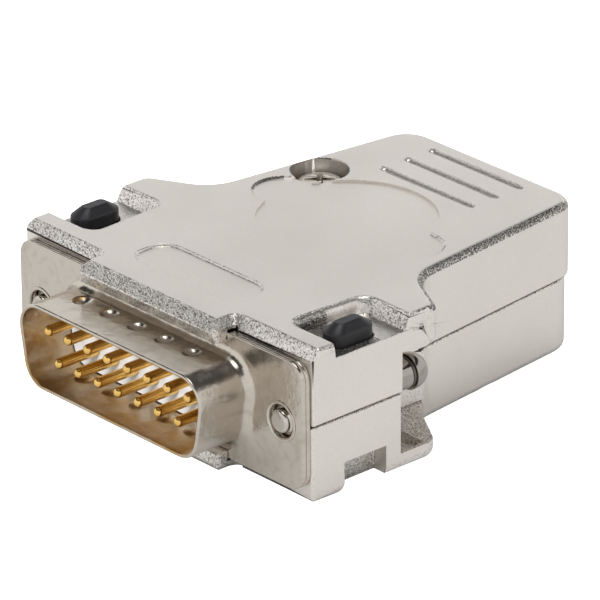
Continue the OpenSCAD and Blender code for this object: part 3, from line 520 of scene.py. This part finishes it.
def polished_steel():
    own = bpy.context.scene.dsub_screws
    made, tree, shader, place = new_material("polished nickel on steel", Metallic=1.0)
    tone = use_group(tree, cloudy_tone(), place, Clouds_per_metre=300.0)
    lines = use_group(tree, fine_lines(), place, Lines_per_metre=9000.0, Stretch=(0.05, 1.0, 0.05))
    sawn = add(tree, "ShaderNodeAttribute", attribute_name=EDGE_MASK).outputs["Fac"]
    stain = maths(tree, "MULTIPLY", tone.outputs["Stains"], mapped(tree, sawn, 0, 1, 0.3, 1.0))
    # Painted shade: the mask darkens the jackscrew heads towards a dark steel, standing in for their dark
    # reflection
    painted_shade = add(tree, "ShaderNodeAttribute", attribute_name=PAINTED_SHADE_MASK).outputs["Fac"]
    stained = mixed(tree, stain, tuple(own.steel), tuple(own.dark))
    wire(tree, mixed(tree, painted_shade, stained, tuple(0.3 * c for c in own.dark)), shader.inputs["Base Color"])
    rough = mapped(tree, tone.outputs["Tone"], 0, 1, 0.12, 0.2)
    wire(tree, maths(tree, "ADD", rough, maths(tree, "MULTIPLY", sawn, 0.3)), shader.inputs["Roughness"])
    bump(tree, shader, lines.outputs["Height"], 0.002 * MM)
    return made


def dark_steel():
    own = bpy.context.scene.dsub_screws
    made, tree, shader, place = new_material("oiled dark steel", Metallic=1.0)
    tone = use_group(tree, cloudy_tone(), place, Clouds_per_metre=500.0)
    wire(
        tree,
        mixed(tree, tone.outputs["Tone"], tuple(own.dark), tuple(0.6 * c for c in own.dark)),
        shader.inputs["Base Color"],
    )
    wire(tree, mapped(tree, tone.outputs["Stains"], 0, 1, 0.3, 0.45), shader.inputs["Roughness"])
    return made


def gold_plate():
    own = bpy.context.scene.dsub_plug
    made, tree, shader, place = new_material("gold plate", Metallic=1.0)
    tone = use_group(tree, cloudy_tone(), place, Clouds_per_metre=700.0)
    lines = use_group(tree, fine_lines(), place, Lines_per_metre=12000.0, Stretch=(0.2, 1.0, 0.2))
    deep = maths(tree, "MULTIPLY", tone.outputs["Tone"], 0.5)
    wire(tree, mixed(tree, deep, tuple(own.gold), tuple(own.gold_deep)), shader.inputs["Base Color"])
    wire(tree, mapped(tree, tone.outputs["Tone"], 0, 1, 0.16, 0.24), shader.inputs["Roughness"])
    bump(tree, shader, lines.outputs["Height"], 0.002 * MM)
    return made


def block_plastic():
    own = bpy.context.scene.dsub_plug
    made, tree, shader, place = new_material("moulded contact block", Specular_IOR_Level=0.5)
    grain = use_group(tree, cast_grain(), place, Grains_per_metre=9000.0)
    tone = use_group(tree, cloudy_tone(), place, Clouds_per_metre=200.0)
    shade = tuple(0.9 * c for c in own.block)
    wire(tree, mixed(tree, tone.outputs["Tone"], tuple(own.block), shade), shader.inputs["Base Color"])
    wire(tree, mapped(tree, tone.outputs["Tone"], 0, 1, 0.42, 0.52), shader.inputs["Roughness"])
    bump(tree, shader, grain.outputs["Height"], 0.004 * MM)
    return made


def button_plastic():
    own = bpy.context.scene.dsub_buttons
    made, tree, shader, place = new_material("moulded black plastic", Specular_IOR_Level=0.5)
    grain = use_group(tree, cast_grain(), place, Grains_per_metre=8000.0)
    tone = use_group(tree, cloudy_tone(), place, Clouds_per_metre=350.0)
    dusty = tuple(2.2 * c for c in own.plastic)
    wire(
        tree,
        mixed(tree, maths(tree, "MULTIPLY", tone.outputs["Stains"], 0.5), tuple(own.plastic), dusty),
        shader.inputs["Base Color"],
    )
    wire(tree, mapped(tree, tone.outputs["Tone"], 0, 1, 0.36, 0.48), shader.inputs["Roughness"])
    bump(tree, shader, grain.outputs["Height"], 0.006 * MM)
    return made


MAKERS = {
    "cast_nickel": cast_nickel,
    "plated_sheet": plated_sheet,
    "bright_steel": polished_steel,
    "dark_steel": dark_steel,
    "gold": gold_plate,
    "insulator": block_plastic,
    "black_plastic": button_plastic,
}
finishes = {}


def finish_of(slot):
    """The material for one of the record's slots, made once."""
    if slot not in finishes:
        finishes[slot] = MAKERS[slot]()
    return finishes[slot]


# Mesh helpers


def cad_copy(node, weld=WELD):
    """A bmesh of a CAD node, merged, with its flat faces whole again."""
    bm = bmesh.new()
    bm.from_mesh(frame["nodes"][node].data)
    bmesh.ops.remove_doubles(bm, verts=bm.verts, dist=weld)
    bmesh.ops.dissolve_degenerate(bm, edges=bm.edges, dist=weld)
    bmesh.ops.dissolve_limit(bm, angle_limit=FLAT_ANGLE, verts=bm.verts, edges=bm.edges)
    return bm


def round_edges(bm, width, least_angle, chosen=lambda edge: True, segments=2):
    """Rounds the sharp edges of bm that are long enough for it."""
    if width <= 0:
        return
    sharp = [
        e
        for e in bm.edges
        if len(e.link_faces) == 2
        and e.calc_face_angle(0) > math.radians(least_angle)
        and e.calc_length() > width
        and chosen(e)
    ]
    bmesh.ops.bevel(
        bm,
        geom=sharp,
        offset=width,
        offset_type="OFFSET",
        affect="EDGES",
        segments=segments,
        profile=0.5,
        material=-1,
        clamp_overlap=False,
    )


def edge_middle(edge):
    return (edge.verts[0].co + edge.verts[1].co) / 2


def cut_faces(bm, faces, place, normal):
    """Cuts the given faces of bm where the plane through place crosses them."""
    edges = {e for f in faces for e in f.edges}
    verts = {v for e in edges for v in e.verts}
    bmesh.ops.bisect_plane(bm, geom=[*faces, *edges, *verts], plane_co=place, plane_no=normal)


def mark(bm, name, value_of):
    """Writes a mask for the material on bm's faces, from a function of face, middle in mm and normal."""
    bm.normal_update()
    mask = bm.faces.layers.float.new(name)
    for face in bm.faces:
        face[mask] = float(value_of(face, face.calc_center_median() / MM, face.normal))


def add_piece(name, bm, slot, nodes, body, smooth_angle=35):
    """Makes bm a piece that stands for the CAD nodes, rides on body and has the slot's finish."""
    for face in bm.faces:
        face.smooth = True
    mesh = bpy.data.meshes.new(name)
    bm.to_mesh(mesh)
    bm.free()
    mesh.set_sharp_from_angle(angle=math.radians(smooth_angle))
    piece = bpy.data.objects.new(name, mesh)
    bpy.context.scene.collection.objects.link(piece)
    mesh.materials.append(finish_of(slot))
    weigh = piece.modifiers.new("weighted normals", "WEIGHTED_NORMAL")
    weigh.keep_sharp = True
    weigh.weight = 100
    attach(piece, body)
    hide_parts(*nodes)
    return piece


def cut_thread(bm, foot, along, length, crest_r, pitch, steps):
    """Threads a screw from its foot up: a thinner core with a chamfered end and a helical ridge on it."""
    core_r = crest_r - 0.5 * pitch
    for reach in (length, length - 0.25 * pitch):
        bmesh.ops.bisect_plane(
            bm, geom=[*bm.verts, *bm.edges, *bm.faces], plane_co=foot + along * reach, plane_no=along
        )
    for v in bm.verts:
        reach = (v.co - foot).dot(along)
        axis_point = foot + along * reach
        off = v.co - axis_point
        room = core_r - (0.45 * pitch if reach < WELD else 0)
        if reach < length - WELD and off.length > room:
            v.co = axis_point + off * (room / off.length)
    side = along.orthogonal().normalized()
    root = side * (core_r - 0.15 * pitch)
    first = foot + along * (0.6 * pitch)
    profile = (
        first + root,
        first + side * crest_r + along * (0.36 * pitch),
        first + side * crest_r + along * (0.52 * pitch),
        first + root + along * (0.88 * pitch),
    )
    face = bm.faces.new([bm.verts.new(p) for p in profile])
    turns = length / pitch - 1.7
    bmesh.ops.spin(
        bm,
        geom=[face, *face.edges, *face.verts],
        cent=foot,
        axis=along,
        dvec=along * (pitch / steps),
        angle=2 * math.pi * turns,
        steps=int(steps * turns),
        use_merge=False,
        use_duplicate=False,
    )
    bmesh.ops.recalc_face_normals(bm, faces=bm.faces)


# Operators


class CONNECTOR_OT_hood(bpy.types.Operator):
    """Builds the two halves of the die-cast hood and the cable clamp"""

    bl_idname = "connector.hood"
    bl_label = "Hood"

    def execute(self, context):
        own = context.scene.dsub_hood
        for node in ("upper_shell", "lower_shell", "cable_clamp"):
            bm = cad_copy(node, HOOD_WELD)
            if node != "cable_clamp":
                self.widen_front_bevels(bm)
                self.bevel_lip_ends(bm, own.lip_end)
                self.level_notches(bm)
            round_edges(bm, own.edge_round, 38, self.rounded)
            self.part(bm, self.dish_wall, DISH_WALL_SHADE)
            self.part(bm, self.dish_floor, DISH_FLOOR_SHADE)
            mark(bm, EDGE_MASK, self.speckle)
            # Painted shade mask: gaps, notch tops, dish fronts, windows and pits darkened as shade, side
            # fillets as a dark reflection
            mark(bm, PAINTED_SHADE_MASK, self.painted_shade)
            add_piece(node + "_casting", bm, "cast_nickel", [node], "hood", 25)
        return {"FINISHED"}

    @staticmethod
    def widen_front_bevels(bm):
        """Brings the lower edge of the shoulders' front bevel down almost to the flange."""
        for v in bm.verts:
            at = v.co / MM
            if within(at, SHOULDER_BEVEL, both_halves=True):
                v.co.z = math.copysign(abs(v.co.z) - BEVEL_GROWTH * (TOP * MM - abs(v.co.z)), at.z)

    @staticmethod
    def bevel_lip_ends(bm, width):
        """Carries the lips' bevel round their ends and into the shoulders' bevel."""
        near = [v for v in bm.verts if within(v.co / MM, LIP_END)]
        for level in (BEVEL_FOOT, -BEVEL_FOOT):
            faces = {f for v in near for f in v.link_faces if abs(f.normal.z) < 0.1}
            cut_faces(bm, faces, (0, 0, level * MM), (0, 0, 1))
        for v in bm.verts:
            at = v.co / MM
            side = math.copysign(1, at.x)
            if not (within(at, LIP_END) and abs(at.z) > BEVEL_FOOT + 0.05):
                continue
            if abs(at.z) < TOP - 0.05:
                v.co.z = math.copysign(min(abs(v.co.z), (LIP_X + BEVEL_FOOT) * MM - abs(v.co.x)), at.z)
            elif at.y < FILLET_Y - 0.01:
                v.co.x -= side * width
            else:
                fillet = Vector((side * FILLET_X, FILLET_Y, at.z)) * MM
                v.co = fillet + (v.co - fillet) * (1 + width / (FILLET_R * MM))
        bmesh.ops.remove_doubles(bm, verts=bm.verts, dist=2 * CLOSE)
        bmesh.ops.dissolve_degenerate(bm, edges=bm.edges, dist=CLOSE)

    @staticmethod
    def level_notches(bm):
        """Brings the deep end of each foot notch level with its inner wall, and parts off the wall's top."""
        for v in bm.verts:
            at = v.co / MM
            if within(at, NOTCH_END):
                v.co.x = math.copysign(NOTCH_X * MM, at.x)
        bmesh.ops.remove_doubles(bm, verts=bm.verts, dist=CLOSE)
        bmesh.ops.dissolve_degenerate(bm, edges=bm.edges, dist=CLOSE)
        bmesh.ops.dissolve_limit(bm, angle_limit=FLAT_ANGLE, verts=bm.verts, edges=bm.edges)
        bm.normal_update()
        upright = [f for f in bm.faces if abs(f.normal.x) > 0.99]
        walls = [f for f in upright if all(within(v.co / MM, NOTCH_WALL) for v in f.verts)]
        cut_faces(bm, walls, (0, 0, NOTCH_SHADE * MM), (0, 0, 1))

    @staticmethod
    def part(bm, chosen, y):
        """Cuts the chosen faces in two across Y, so that their front can be more speckled and take more
        painted shade than their rear.
        """
        bm.normal_update()
        faces = [f for f in bm.faces if chosen(f.calc_center_median() / MM, f.normal)]
        cut_faces(bm, faces, (0, y * MM, 0), (0, 1, 0))

    @staticmethod
    def dish_wall(at, normal):
        """True for the inner wall of a finger dish."""
        return within(at, DISH_WALL) and normal.x * at.x > 0 and 0 <= normal.z < FACING

    @staticmethod
    def dish_floor(at, normal):
        """True for the floor of a finger dish."""
        return within(at, DISH_FLOOR) and normal.z > 0.99

    @classmethod
    def in_dish_front(cls, at, normal):
        """True for the front of a finger dish, which is more speckled and takes painted shade, False for its
        rear, None elsewhere.
        """
        if cls.dish_wall(at, normal):
            return at.y < DISH_WALL_SHADE
        if cls.dish_floor(at, normal):
            return at.y < DISH_FLOOR_SHADE
        return None

    @classmethod
    def speckle(cls, face, at, normal):
        """How speckled the plate is: strongly on bevels and fillets, hardly on upright corners."""
        steep = abs(normal.z)
        dish_front = cls.in_dish_front(at, normal)
        if dish_front is not None:
            return SPECKLE["dish front" if dish_front else "dish rear"]
        if at.y < 0 and normal.y < -FACING or within(at, LIP_SIDE) and steep < LEVEL:
            return SPECKLE["lip"]
        if within(at, WINDOW) and abs(normal.x) > FACING:
            return SPECKLE["window wall"]
        if within(at, WINDOW) and normal.z > 0.3:
            return SPECKLE["window floor"]
        if within(at, NOTCH_WALL):
            return SPECKLE["notch"]
        if SLANTED < steep < LEVEL:
            return SPECKLE["grip" if within(at, GRIPS) else "foot" if at.z < -5 else "bevel"]
        if 2 * face.calc_area() > 0.45 * MM * face.calc_perimeter():
            return SPECKLE["slope" if TILTED < steep < LEVEL else "flat"]
        return SPECKLE["corner"]

    @classmethod
    def painted_shade(cls, face, at, normal):
        """Painted shade: full round the flange, at the notch tops and in the real dark seam; some in the
        dishes' fronts, notches and windows; a painted dark reflection on the side fillets and shade in the
        pits.
        """
        over_flange = within(at, FLANGE_GAP, both_halves=True) and normal.z * at.z < -FACING
        behind_flange = within(at, BEHIND_FLANGE) and normal.y < -FACING
        before_shoulder = within(at, SHOULDER_FRONT) and normal.y < -FACING
        in_seam = abs(at.z) < SEAM_Z and abs(normal.z) < 0.999
        in_notch = within(at, NOTCH_WALL) and abs(normal.x) > FACING
        in_pit = abs(at.x) > PIT[0][0] and math.hypot(at.y - PIT_Y, at.z - PIT_Z) < PIT_R
        # Full painted shade in the gaps round the flange and at the top of each notch; the seam faces get the
        # same dark as a real joint line
        if over_flange or behind_flange or before_shoulder or in_seam or in_notch and at.z > NOTCH_SHADE:
            return PAINTED_SHADE["gap"]
        dish_front = cls.in_dish_front(at, normal)
        if dish_front is not None:
            return PAINTED_SHADE["dish front" if dish_front else "unshaded"]
        # Some painted shade on the window floors, and a painted dark reflection on the side fillets with
        # painted shade in the pits
        if within(at, WINDOW_FLOOR) and normal.z > 0.3:
            return PAINTED_SHADE["window floor"]
        if within(at, SIDE_FILLET) and 0.25 < normal.z < LEVEL or in_pit:
            return PAINTED_SHADE["fillet"]
        return PAINTED_SHADE["notch" if in_notch else "unshaded"]

    @staticmethod
    def rounded(edge):
        """False for an edge in the hollow, and where rounding would run into fine facets or a thin wall."""
        at = edge_middle(edge) / MM
        inner = 12.5 - 0.115 * max(at.y - 19, 0)
        in_hollow = abs(at.x) < inner and within(at, HOLLOW)
        in_corner = any(within(v.co / MM, SHOULDER_CORNER, both_halves=True) for v in edge.verts)
        at_disc = abs(at.z) > 7.2 and abs(math.hypot(at.x, at.y - DISC_Y) - DISC_R) < 0.3
        at_front = any(within(at, zone, both_halves=True) for zone in (LIP_NOSE, SHOULDER_EDGE))
        at_curve = within(at, PIT) or within(at, NOTCH_CURVE)
        return not (in_hollow or in_corner or at_disc or at_front or at_curve)


class CONNECTOR_OT_shells(bpy.types.Operator):
    """Builds the drawn steel shells of the plug"""

    bl_idname = "connector.shells"
    bl_label = "Plug shells"

    def execute(self, context):
        own = context.scene.dsub_plug
        for node in ("front_shell", "rear_shell"):
            bm = cad_copy(node)
            round_edges(bm, own.sheet_round, 60, lambda edge: not self.at_eyelet(edge_middle(edge)))
            self.flare_eyelets(bm, own.flare)
            mark(bm, WARM_MASK, self.inside_collar)
            # Painted shade on the plates' top and bottom edges tucked under the hood, more on the rear plate
            plate_edge_shade = PAINTED_SHADE["rear plate" if node == "rear_shell" else "front plate"]
            mark(bm, PAINTED_SHADE_MASK, lambda face, at, normal: plate_edge_shade * (abs(normal.z) > FACING and abs(at.z) > 6.2))
            add_piece(node + "_sheet", bm, "plated_sheet", [node], "hood", 50)
        return {"FINISHED"}

    @staticmethod
    def at_eyelet(place):
        """True for the rolled rim before the plate, round either screw."""
        at = place / MM
        return at.y < -0.002 and math.hypot(abs(at.x) - SCREW_X, at.z) < 2

    def flare_eyelets(self, bm, times):
        for v in bm.verts:
            if self.at_eyelet(v.co):
                centre = Vector((math.copysign(SCREW_X * MM, v.co.x), v.co.y, 0))
                off = v.co - centre
                v.co = centre + off * (1 + (times - 1) * max(off.length - EYELET_R * MM, 0) / off.length)

    @staticmethod
    def inside_collar(face, at, normal):
        return at.y < -0.1 and abs(at.x) < 12.7 and normal.dot(Vector((at.x, 0, at.z))) < 0


class CONNECTOR_OT_contacts(bpy.types.Operator):
    """Builds the contact block and the gold-plated contacts"""

    bl_idname = "connector.contacts"
    bl_label = "Contacts"

    def execute(self, context):
        for node in ("front_insulator", "rear_insulator"):
            add_piece(node + "_moulding", cad_copy(node), "insulator", [node], "hood", 40)
        for i in range(1, PIN_COUNT + 1):
            node = f"pin_{i:02d}"
            add_piece(node + "_contact", cad_copy(node), "gold", [node], "hood", 50)
        return {"FINISHED"}


class CONNECTOR_OT_screws(bpy.types.Operator):
    """Builds the jackscrews with their washers, the hood screws and the clamp screws"""

    bl_idname = "connector.screws"
    bl_label = "Screws"

    def execute(self, context):
        own = context.scene.dsub_screws
        for side in SIDES:
            node = "jackscrew_" + side
            self.screw(node, (0, 1, 0), JACK_THREAD, own.jack_crest, own.jack_pitch, node)
            node = "screw_washer_" + side
            bm = cad_copy(node)
            round_edges(bm, SCREW_ROUND, 50)
            add_piece(node + "_ring", bm, "dark_steel", [node], "washer_" + side, 40)
            node = "clamp_screw_" + side
            self.screw(node, (0, 0, 1), CLAMP_THREAD, own.clamp_crest, own.clamp_pitch, "hood")
        for half, way in (("upper", 1), ("lower", -1)):
            self.screw("hood_screw_" + half, (0, 0, way), HOOD_THREAD, own.hood_crest, own.hood_pitch, "hood")
        return {"FINISHED"}

    def screw(self, node, along, length, crest_r, pitch, body):
        """Builds one threaded screw; along points from its foot to its head."""
        own = bpy.context.scene.dsub_screws
        along = Vector(along)
        low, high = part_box(node)
        half = (high - low) / 2
        foot = middle_of(node) - along * abs(half.dot(along))
        bm = cad_copy(node)
        round_edges(bm, SCREW_ROUND, 50)
        cut_thread(bm, foot, along, length, crest_r, pitch, own.thread_steps)
        mark(bm, EDGE_MASK, lambda face, at, normal: (at * MM - foot).dot(along) < CLOSE)
        # Painted dark reflection on the jackscrew heads, none on the other screws
        head_shade = PAINTED_SHADE["screw head" if node.startswith("jack") else "unshaded"]
        mark(bm, PAINTED_SHADE_MASK, lambda face, at, normal: head_shade * ((at * MM - foot).dot(along) > length))
        add_piece(node + "_threaded", bm, "bright_steel", [node], body, 35)


class CONNECTOR_OT_buttons(bpy.types.Operator):
    """Builds the press buttons and the springs under them"""

    bl_idname = "connector.buttons"
    bl_label = "Buttons"

    def execute(self, context):
        own = context.scene.dsub_buttons
        for side in SIDES:
            node = "release_button_" + side
            bm = cad_copy(node)
            round_edges(bm, own.edge_round, 24, lambda e: min(v.co.z for v in e.verts) > 5 * MM)
            add_piece(node + "_cap", bm, "black_plastic", [node], "button_" + side, 28)
            self.spring(side, own)
        return {"FINISHED"}

    def spring(self, side, own):
        node = "button_spring_" + side
        low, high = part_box(node)
        centre = (low + high) / 2
        wire_r = own.wire / 2
        coil_r = (high.x - low.x) / 2 - wire_r
        steps = 20 * own.turns
        rise = (high.z - low.z - 2 * wire_r) / steps
        bm = bmesh.new()
        start = Vector((centre.x + coil_r, centre.y, low.z + wire_r))
        made = bmesh.ops.create_circle(
            bm,
            cap_ends=True,
            radius=wire_r,
            segments=10,
            matrix=Matrix.Translation(start) @ Matrix.Rotation(math.pi / 2, 4, "X"),
        )
        bmesh.ops.spin(
            bm,
            geom=[*made["verts"], *bm.edges, *bm.faces],
            cent=(centre.x, centre.y, 0),
            axis=(0, 0, 1),
            dvec=(0, 0, rise),
            angle=2 * math.pi * own.turns,
            steps=steps,
            use_merge=False,
            use_duplicate=False,
        )
        bmesh.ops.recalc_face_normals(bm, faces=bm.faces)
        piece = add_piece(node + "_coil", bm, "dark_steel", [node], "hood", 60)
        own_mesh(piece)


class CONNECTOR_OT_studio(bpy.types.Operator):
    """Makes the floor, the surround, the dark ring over the table and the camera"""

    bl_idname = "connector.studio"
    bl_label = "Studio"

    def execute(self, context):
        own = context.scene.dsub_studio
        self.camera(context)
        self.floor()
        self.ceiling(own)
        self.world(context, own)
        self.lamp("overhead light", (0.0, 0.02, 0.5), width=0.26, power=0.48)
        fill = self.lamp("front light", (0.10, -0.45, 0.26), width=0.22, power=2.4)
        fill.visible_glossy = False
        context.scene.view_settings.view_transform = "Standard"
        return {"FINISHED"}

    def camera(self, context):
        azimuth, elevation, roll = math.radians(48.243), math.radians(24.570), math.radians(-0.473)
        distance, shift_x, shift_y = 551.677 * MM, 12.862 * MM, 5.703 * MM
        back = Vector(
            (
                math.sin(azimuth) * math.cos(elevation),
                -math.cos(azimuth) * math.cos(elevation),
                math.sin(elevation),
            )
        )
        right = Vector((math.cos(azimuth), math.sin(azimuth), 0))
        up = back.cross(right)
        turned_right = right * math.cos(roll) + up * math.sin(roll)
        turned_up = up * math.cos(roll) - right * math.sin(roll)
        rows = (turned_right, turned_up, back)
        focal_length, image_width, sensor_width = 6074.32, 600, 36  # pixels, pixels, mm
        data = bpy.data.cameras.new("photo camera")
        data.sensor_width = sensor_width
        data.lens = focal_length / image_width * sensor_width
        data.clip_start, data.clip_end = 0.05, 20
        camera = bpy.data.objects.new("photo camera", data)
        place = turned_right * shift_x + turned_up * shift_y + back * distance
        camera.matrix_world = Matrix.Translation(place) @ Matrix(rows).transposed().to_4x4()
        context.scene.collection.objects.link(camera)
        context.scene.camera = camera

    def floor(self):
        bm = bmesh.new()
        bmesh.ops.create_grid(
            bm,
            x_segments=1,
            y_segments=1,
            size=3.0,
            matrix=Matrix.Translation((0, 0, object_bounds()[0].z)),
        )
        material = bpy.data.materials.new("pale table")
        material.use_nodes = True
        tree = material.node_tree
        shader = tree.nodes["Principled BSDF"]
        shader.inputs["Roughness"].default_value = 0.7
        shader.inputs["Specular IOR Level"].default_value = 0.1
        place = tree.nodes.new("ShaderNodeTexCoord").outputs["Object"]
        wire(
            tree,
            mixed(tree, noise(tree, place, 60.0), (0.62, 0.62, 0.62), (0.64, 0.64, 0.64)),
            shader.inputs["Base Color"],
        )
        path = tree.nodes.new("ShaderNodeLightPath")
        shader.inputs["Emission Color"].default_value = (1, 1, 1, 1)
        glow = maths(tree, "MULTIPLY", path.outputs["Is Camera Ray"], 1.1)
        wire(tree, glow, shader.inputs["Emission Strength"])
        self.stage_piece("table", bm, material)

    def ceiling(self, own):
        bm = bmesh.new()
        at = Matrix.Translation(MIDDLE + Vector((0, 0, 0.35)))
        for radius in (0.47, 0.15):
            bmesh.ops.create_circle(bm, cap_ends=False, radius=radius, segments=48, matrix=at)
        bmesh.ops.bridge_loops(bm, edges=bm.edges)
        material = bpy.data.materials.new("dark felt")
        material.use_nodes = True
        shader = material.node_tree.nodes["Principled BSDF"]
        shader.inputs["Base Color"].default_value = (*own.flag, 1)
        shader.inputs["Roughness"].default_value = 0.9
        ring = self.stage_piece("ceiling ring", bm, material)
        ring.visible_camera = False
        ring.visible_diffuse = False
        ring.visible_shadow = False

    def stage_piece(self, name, bm, material):
        mesh = bpy.data.meshes.new(name)
        bm.to_mesh(mesh)
        bm.free()
        made = bpy.data.objects.new(name, mesh)
        bpy.context.scene.collection.objects.link(made)
        mesh.materials.append(material)
        made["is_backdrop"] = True
        return made

    def world(self, context, own):
        world = bpy.data.worlds.new("white surround")
        context.scene.world = world
        world.use_nodes = True
        tree = world.node_tree
        background = tree.nodes["Background"]
        background.inputs["Color"].default_value = (1, 1, 1, 1)
        path = tree.nodes.new("ShaderNodeLightPath")
        seen = maths(tree, "MAXIMUM", path.outputs["Is Camera Ray"], path.outputs["Is Glossy Ray"])
        shown = maths(tree, "MAXIMUM", seen, path.outputs["Is Transmission Ray"])
        wire(tree, mapped(tree, shown, 0, 1, own.surround, 1.0), background.inputs["Strength"])

    def lamp(self, name, place, width, power):
        data = bpy.data.lights.new(name, "AREA")
        data.shape = "DISK"
        data.size = width
        data.energy = power
        lamp = bpy.data.objects.new(name, data)
        lamp.location = place
        lamp.rotation_euler = (MIDDLE - Vector(place)).to_track_quat("-Z", "Y").to_euler()
        bpy.context.scene.collection.objects.link(lamp)
        return lamp


class CONNECTOR_PT_panel(bpy.types.Panel):
    """Lists the pieces of the connector and their settings"""

    bl_idname = "CONNECTOR_PT_panel"
    bl_label = "D-sub plug"
    bl_space_type = "VIEW_3D"
    bl_region_type = "UI"
    bl_category = "Connector"

    def draw(self, context):
        layout = self.layout
        for step in STEPS:
            layout.operator(step.bl_idname)
        for group in GROUPS:
            own = getattr(context.scene, group)
            column = layout.column(align=True)
            for key in own.bl_rna.properties.keys():
                if key not in ("rna_type", "name"):
                    column.prop(own, key)


STEPS = (
    CONNECTOR_OT_hood,
    CONNECTOR_OT_shells,
    CONNECTOR_OT_contacts,
    CONNECTOR_OT_screws,
    CONNECTOR_OT_buttons,
    CONNECTOR_OT_studio,
)


def register():
    for made in (*GROUPS.values(), *STEPS, CONNECTOR_PT_panel):
        bpy.utils.register_class(made)
    for name, made in GROUPS.items():
        setattr(bpy.types.Scene, name, PointerProperty(type=made))


def unregister():
    for name in GROUPS:
        delattr(bpy.types.Scene, name)
    for made in reversed((*GROUPS.values(), *STEPS, CONNECTOR_PT_panel)):
        bpy.utils.unregister_class(made)


def main():
    register()
    for scene_object in list(bpy.data.objects):
        if scene_object.name in ("Cube", "Camera", "Light"):
            bpy.data.objects.remove(scene_object)
    for step in STEPS:
        group, name = step.bl_idname.split(".")
        getattr(getattr(bpy.ops, group), name)()


if __name__ == "__main__":
    main()
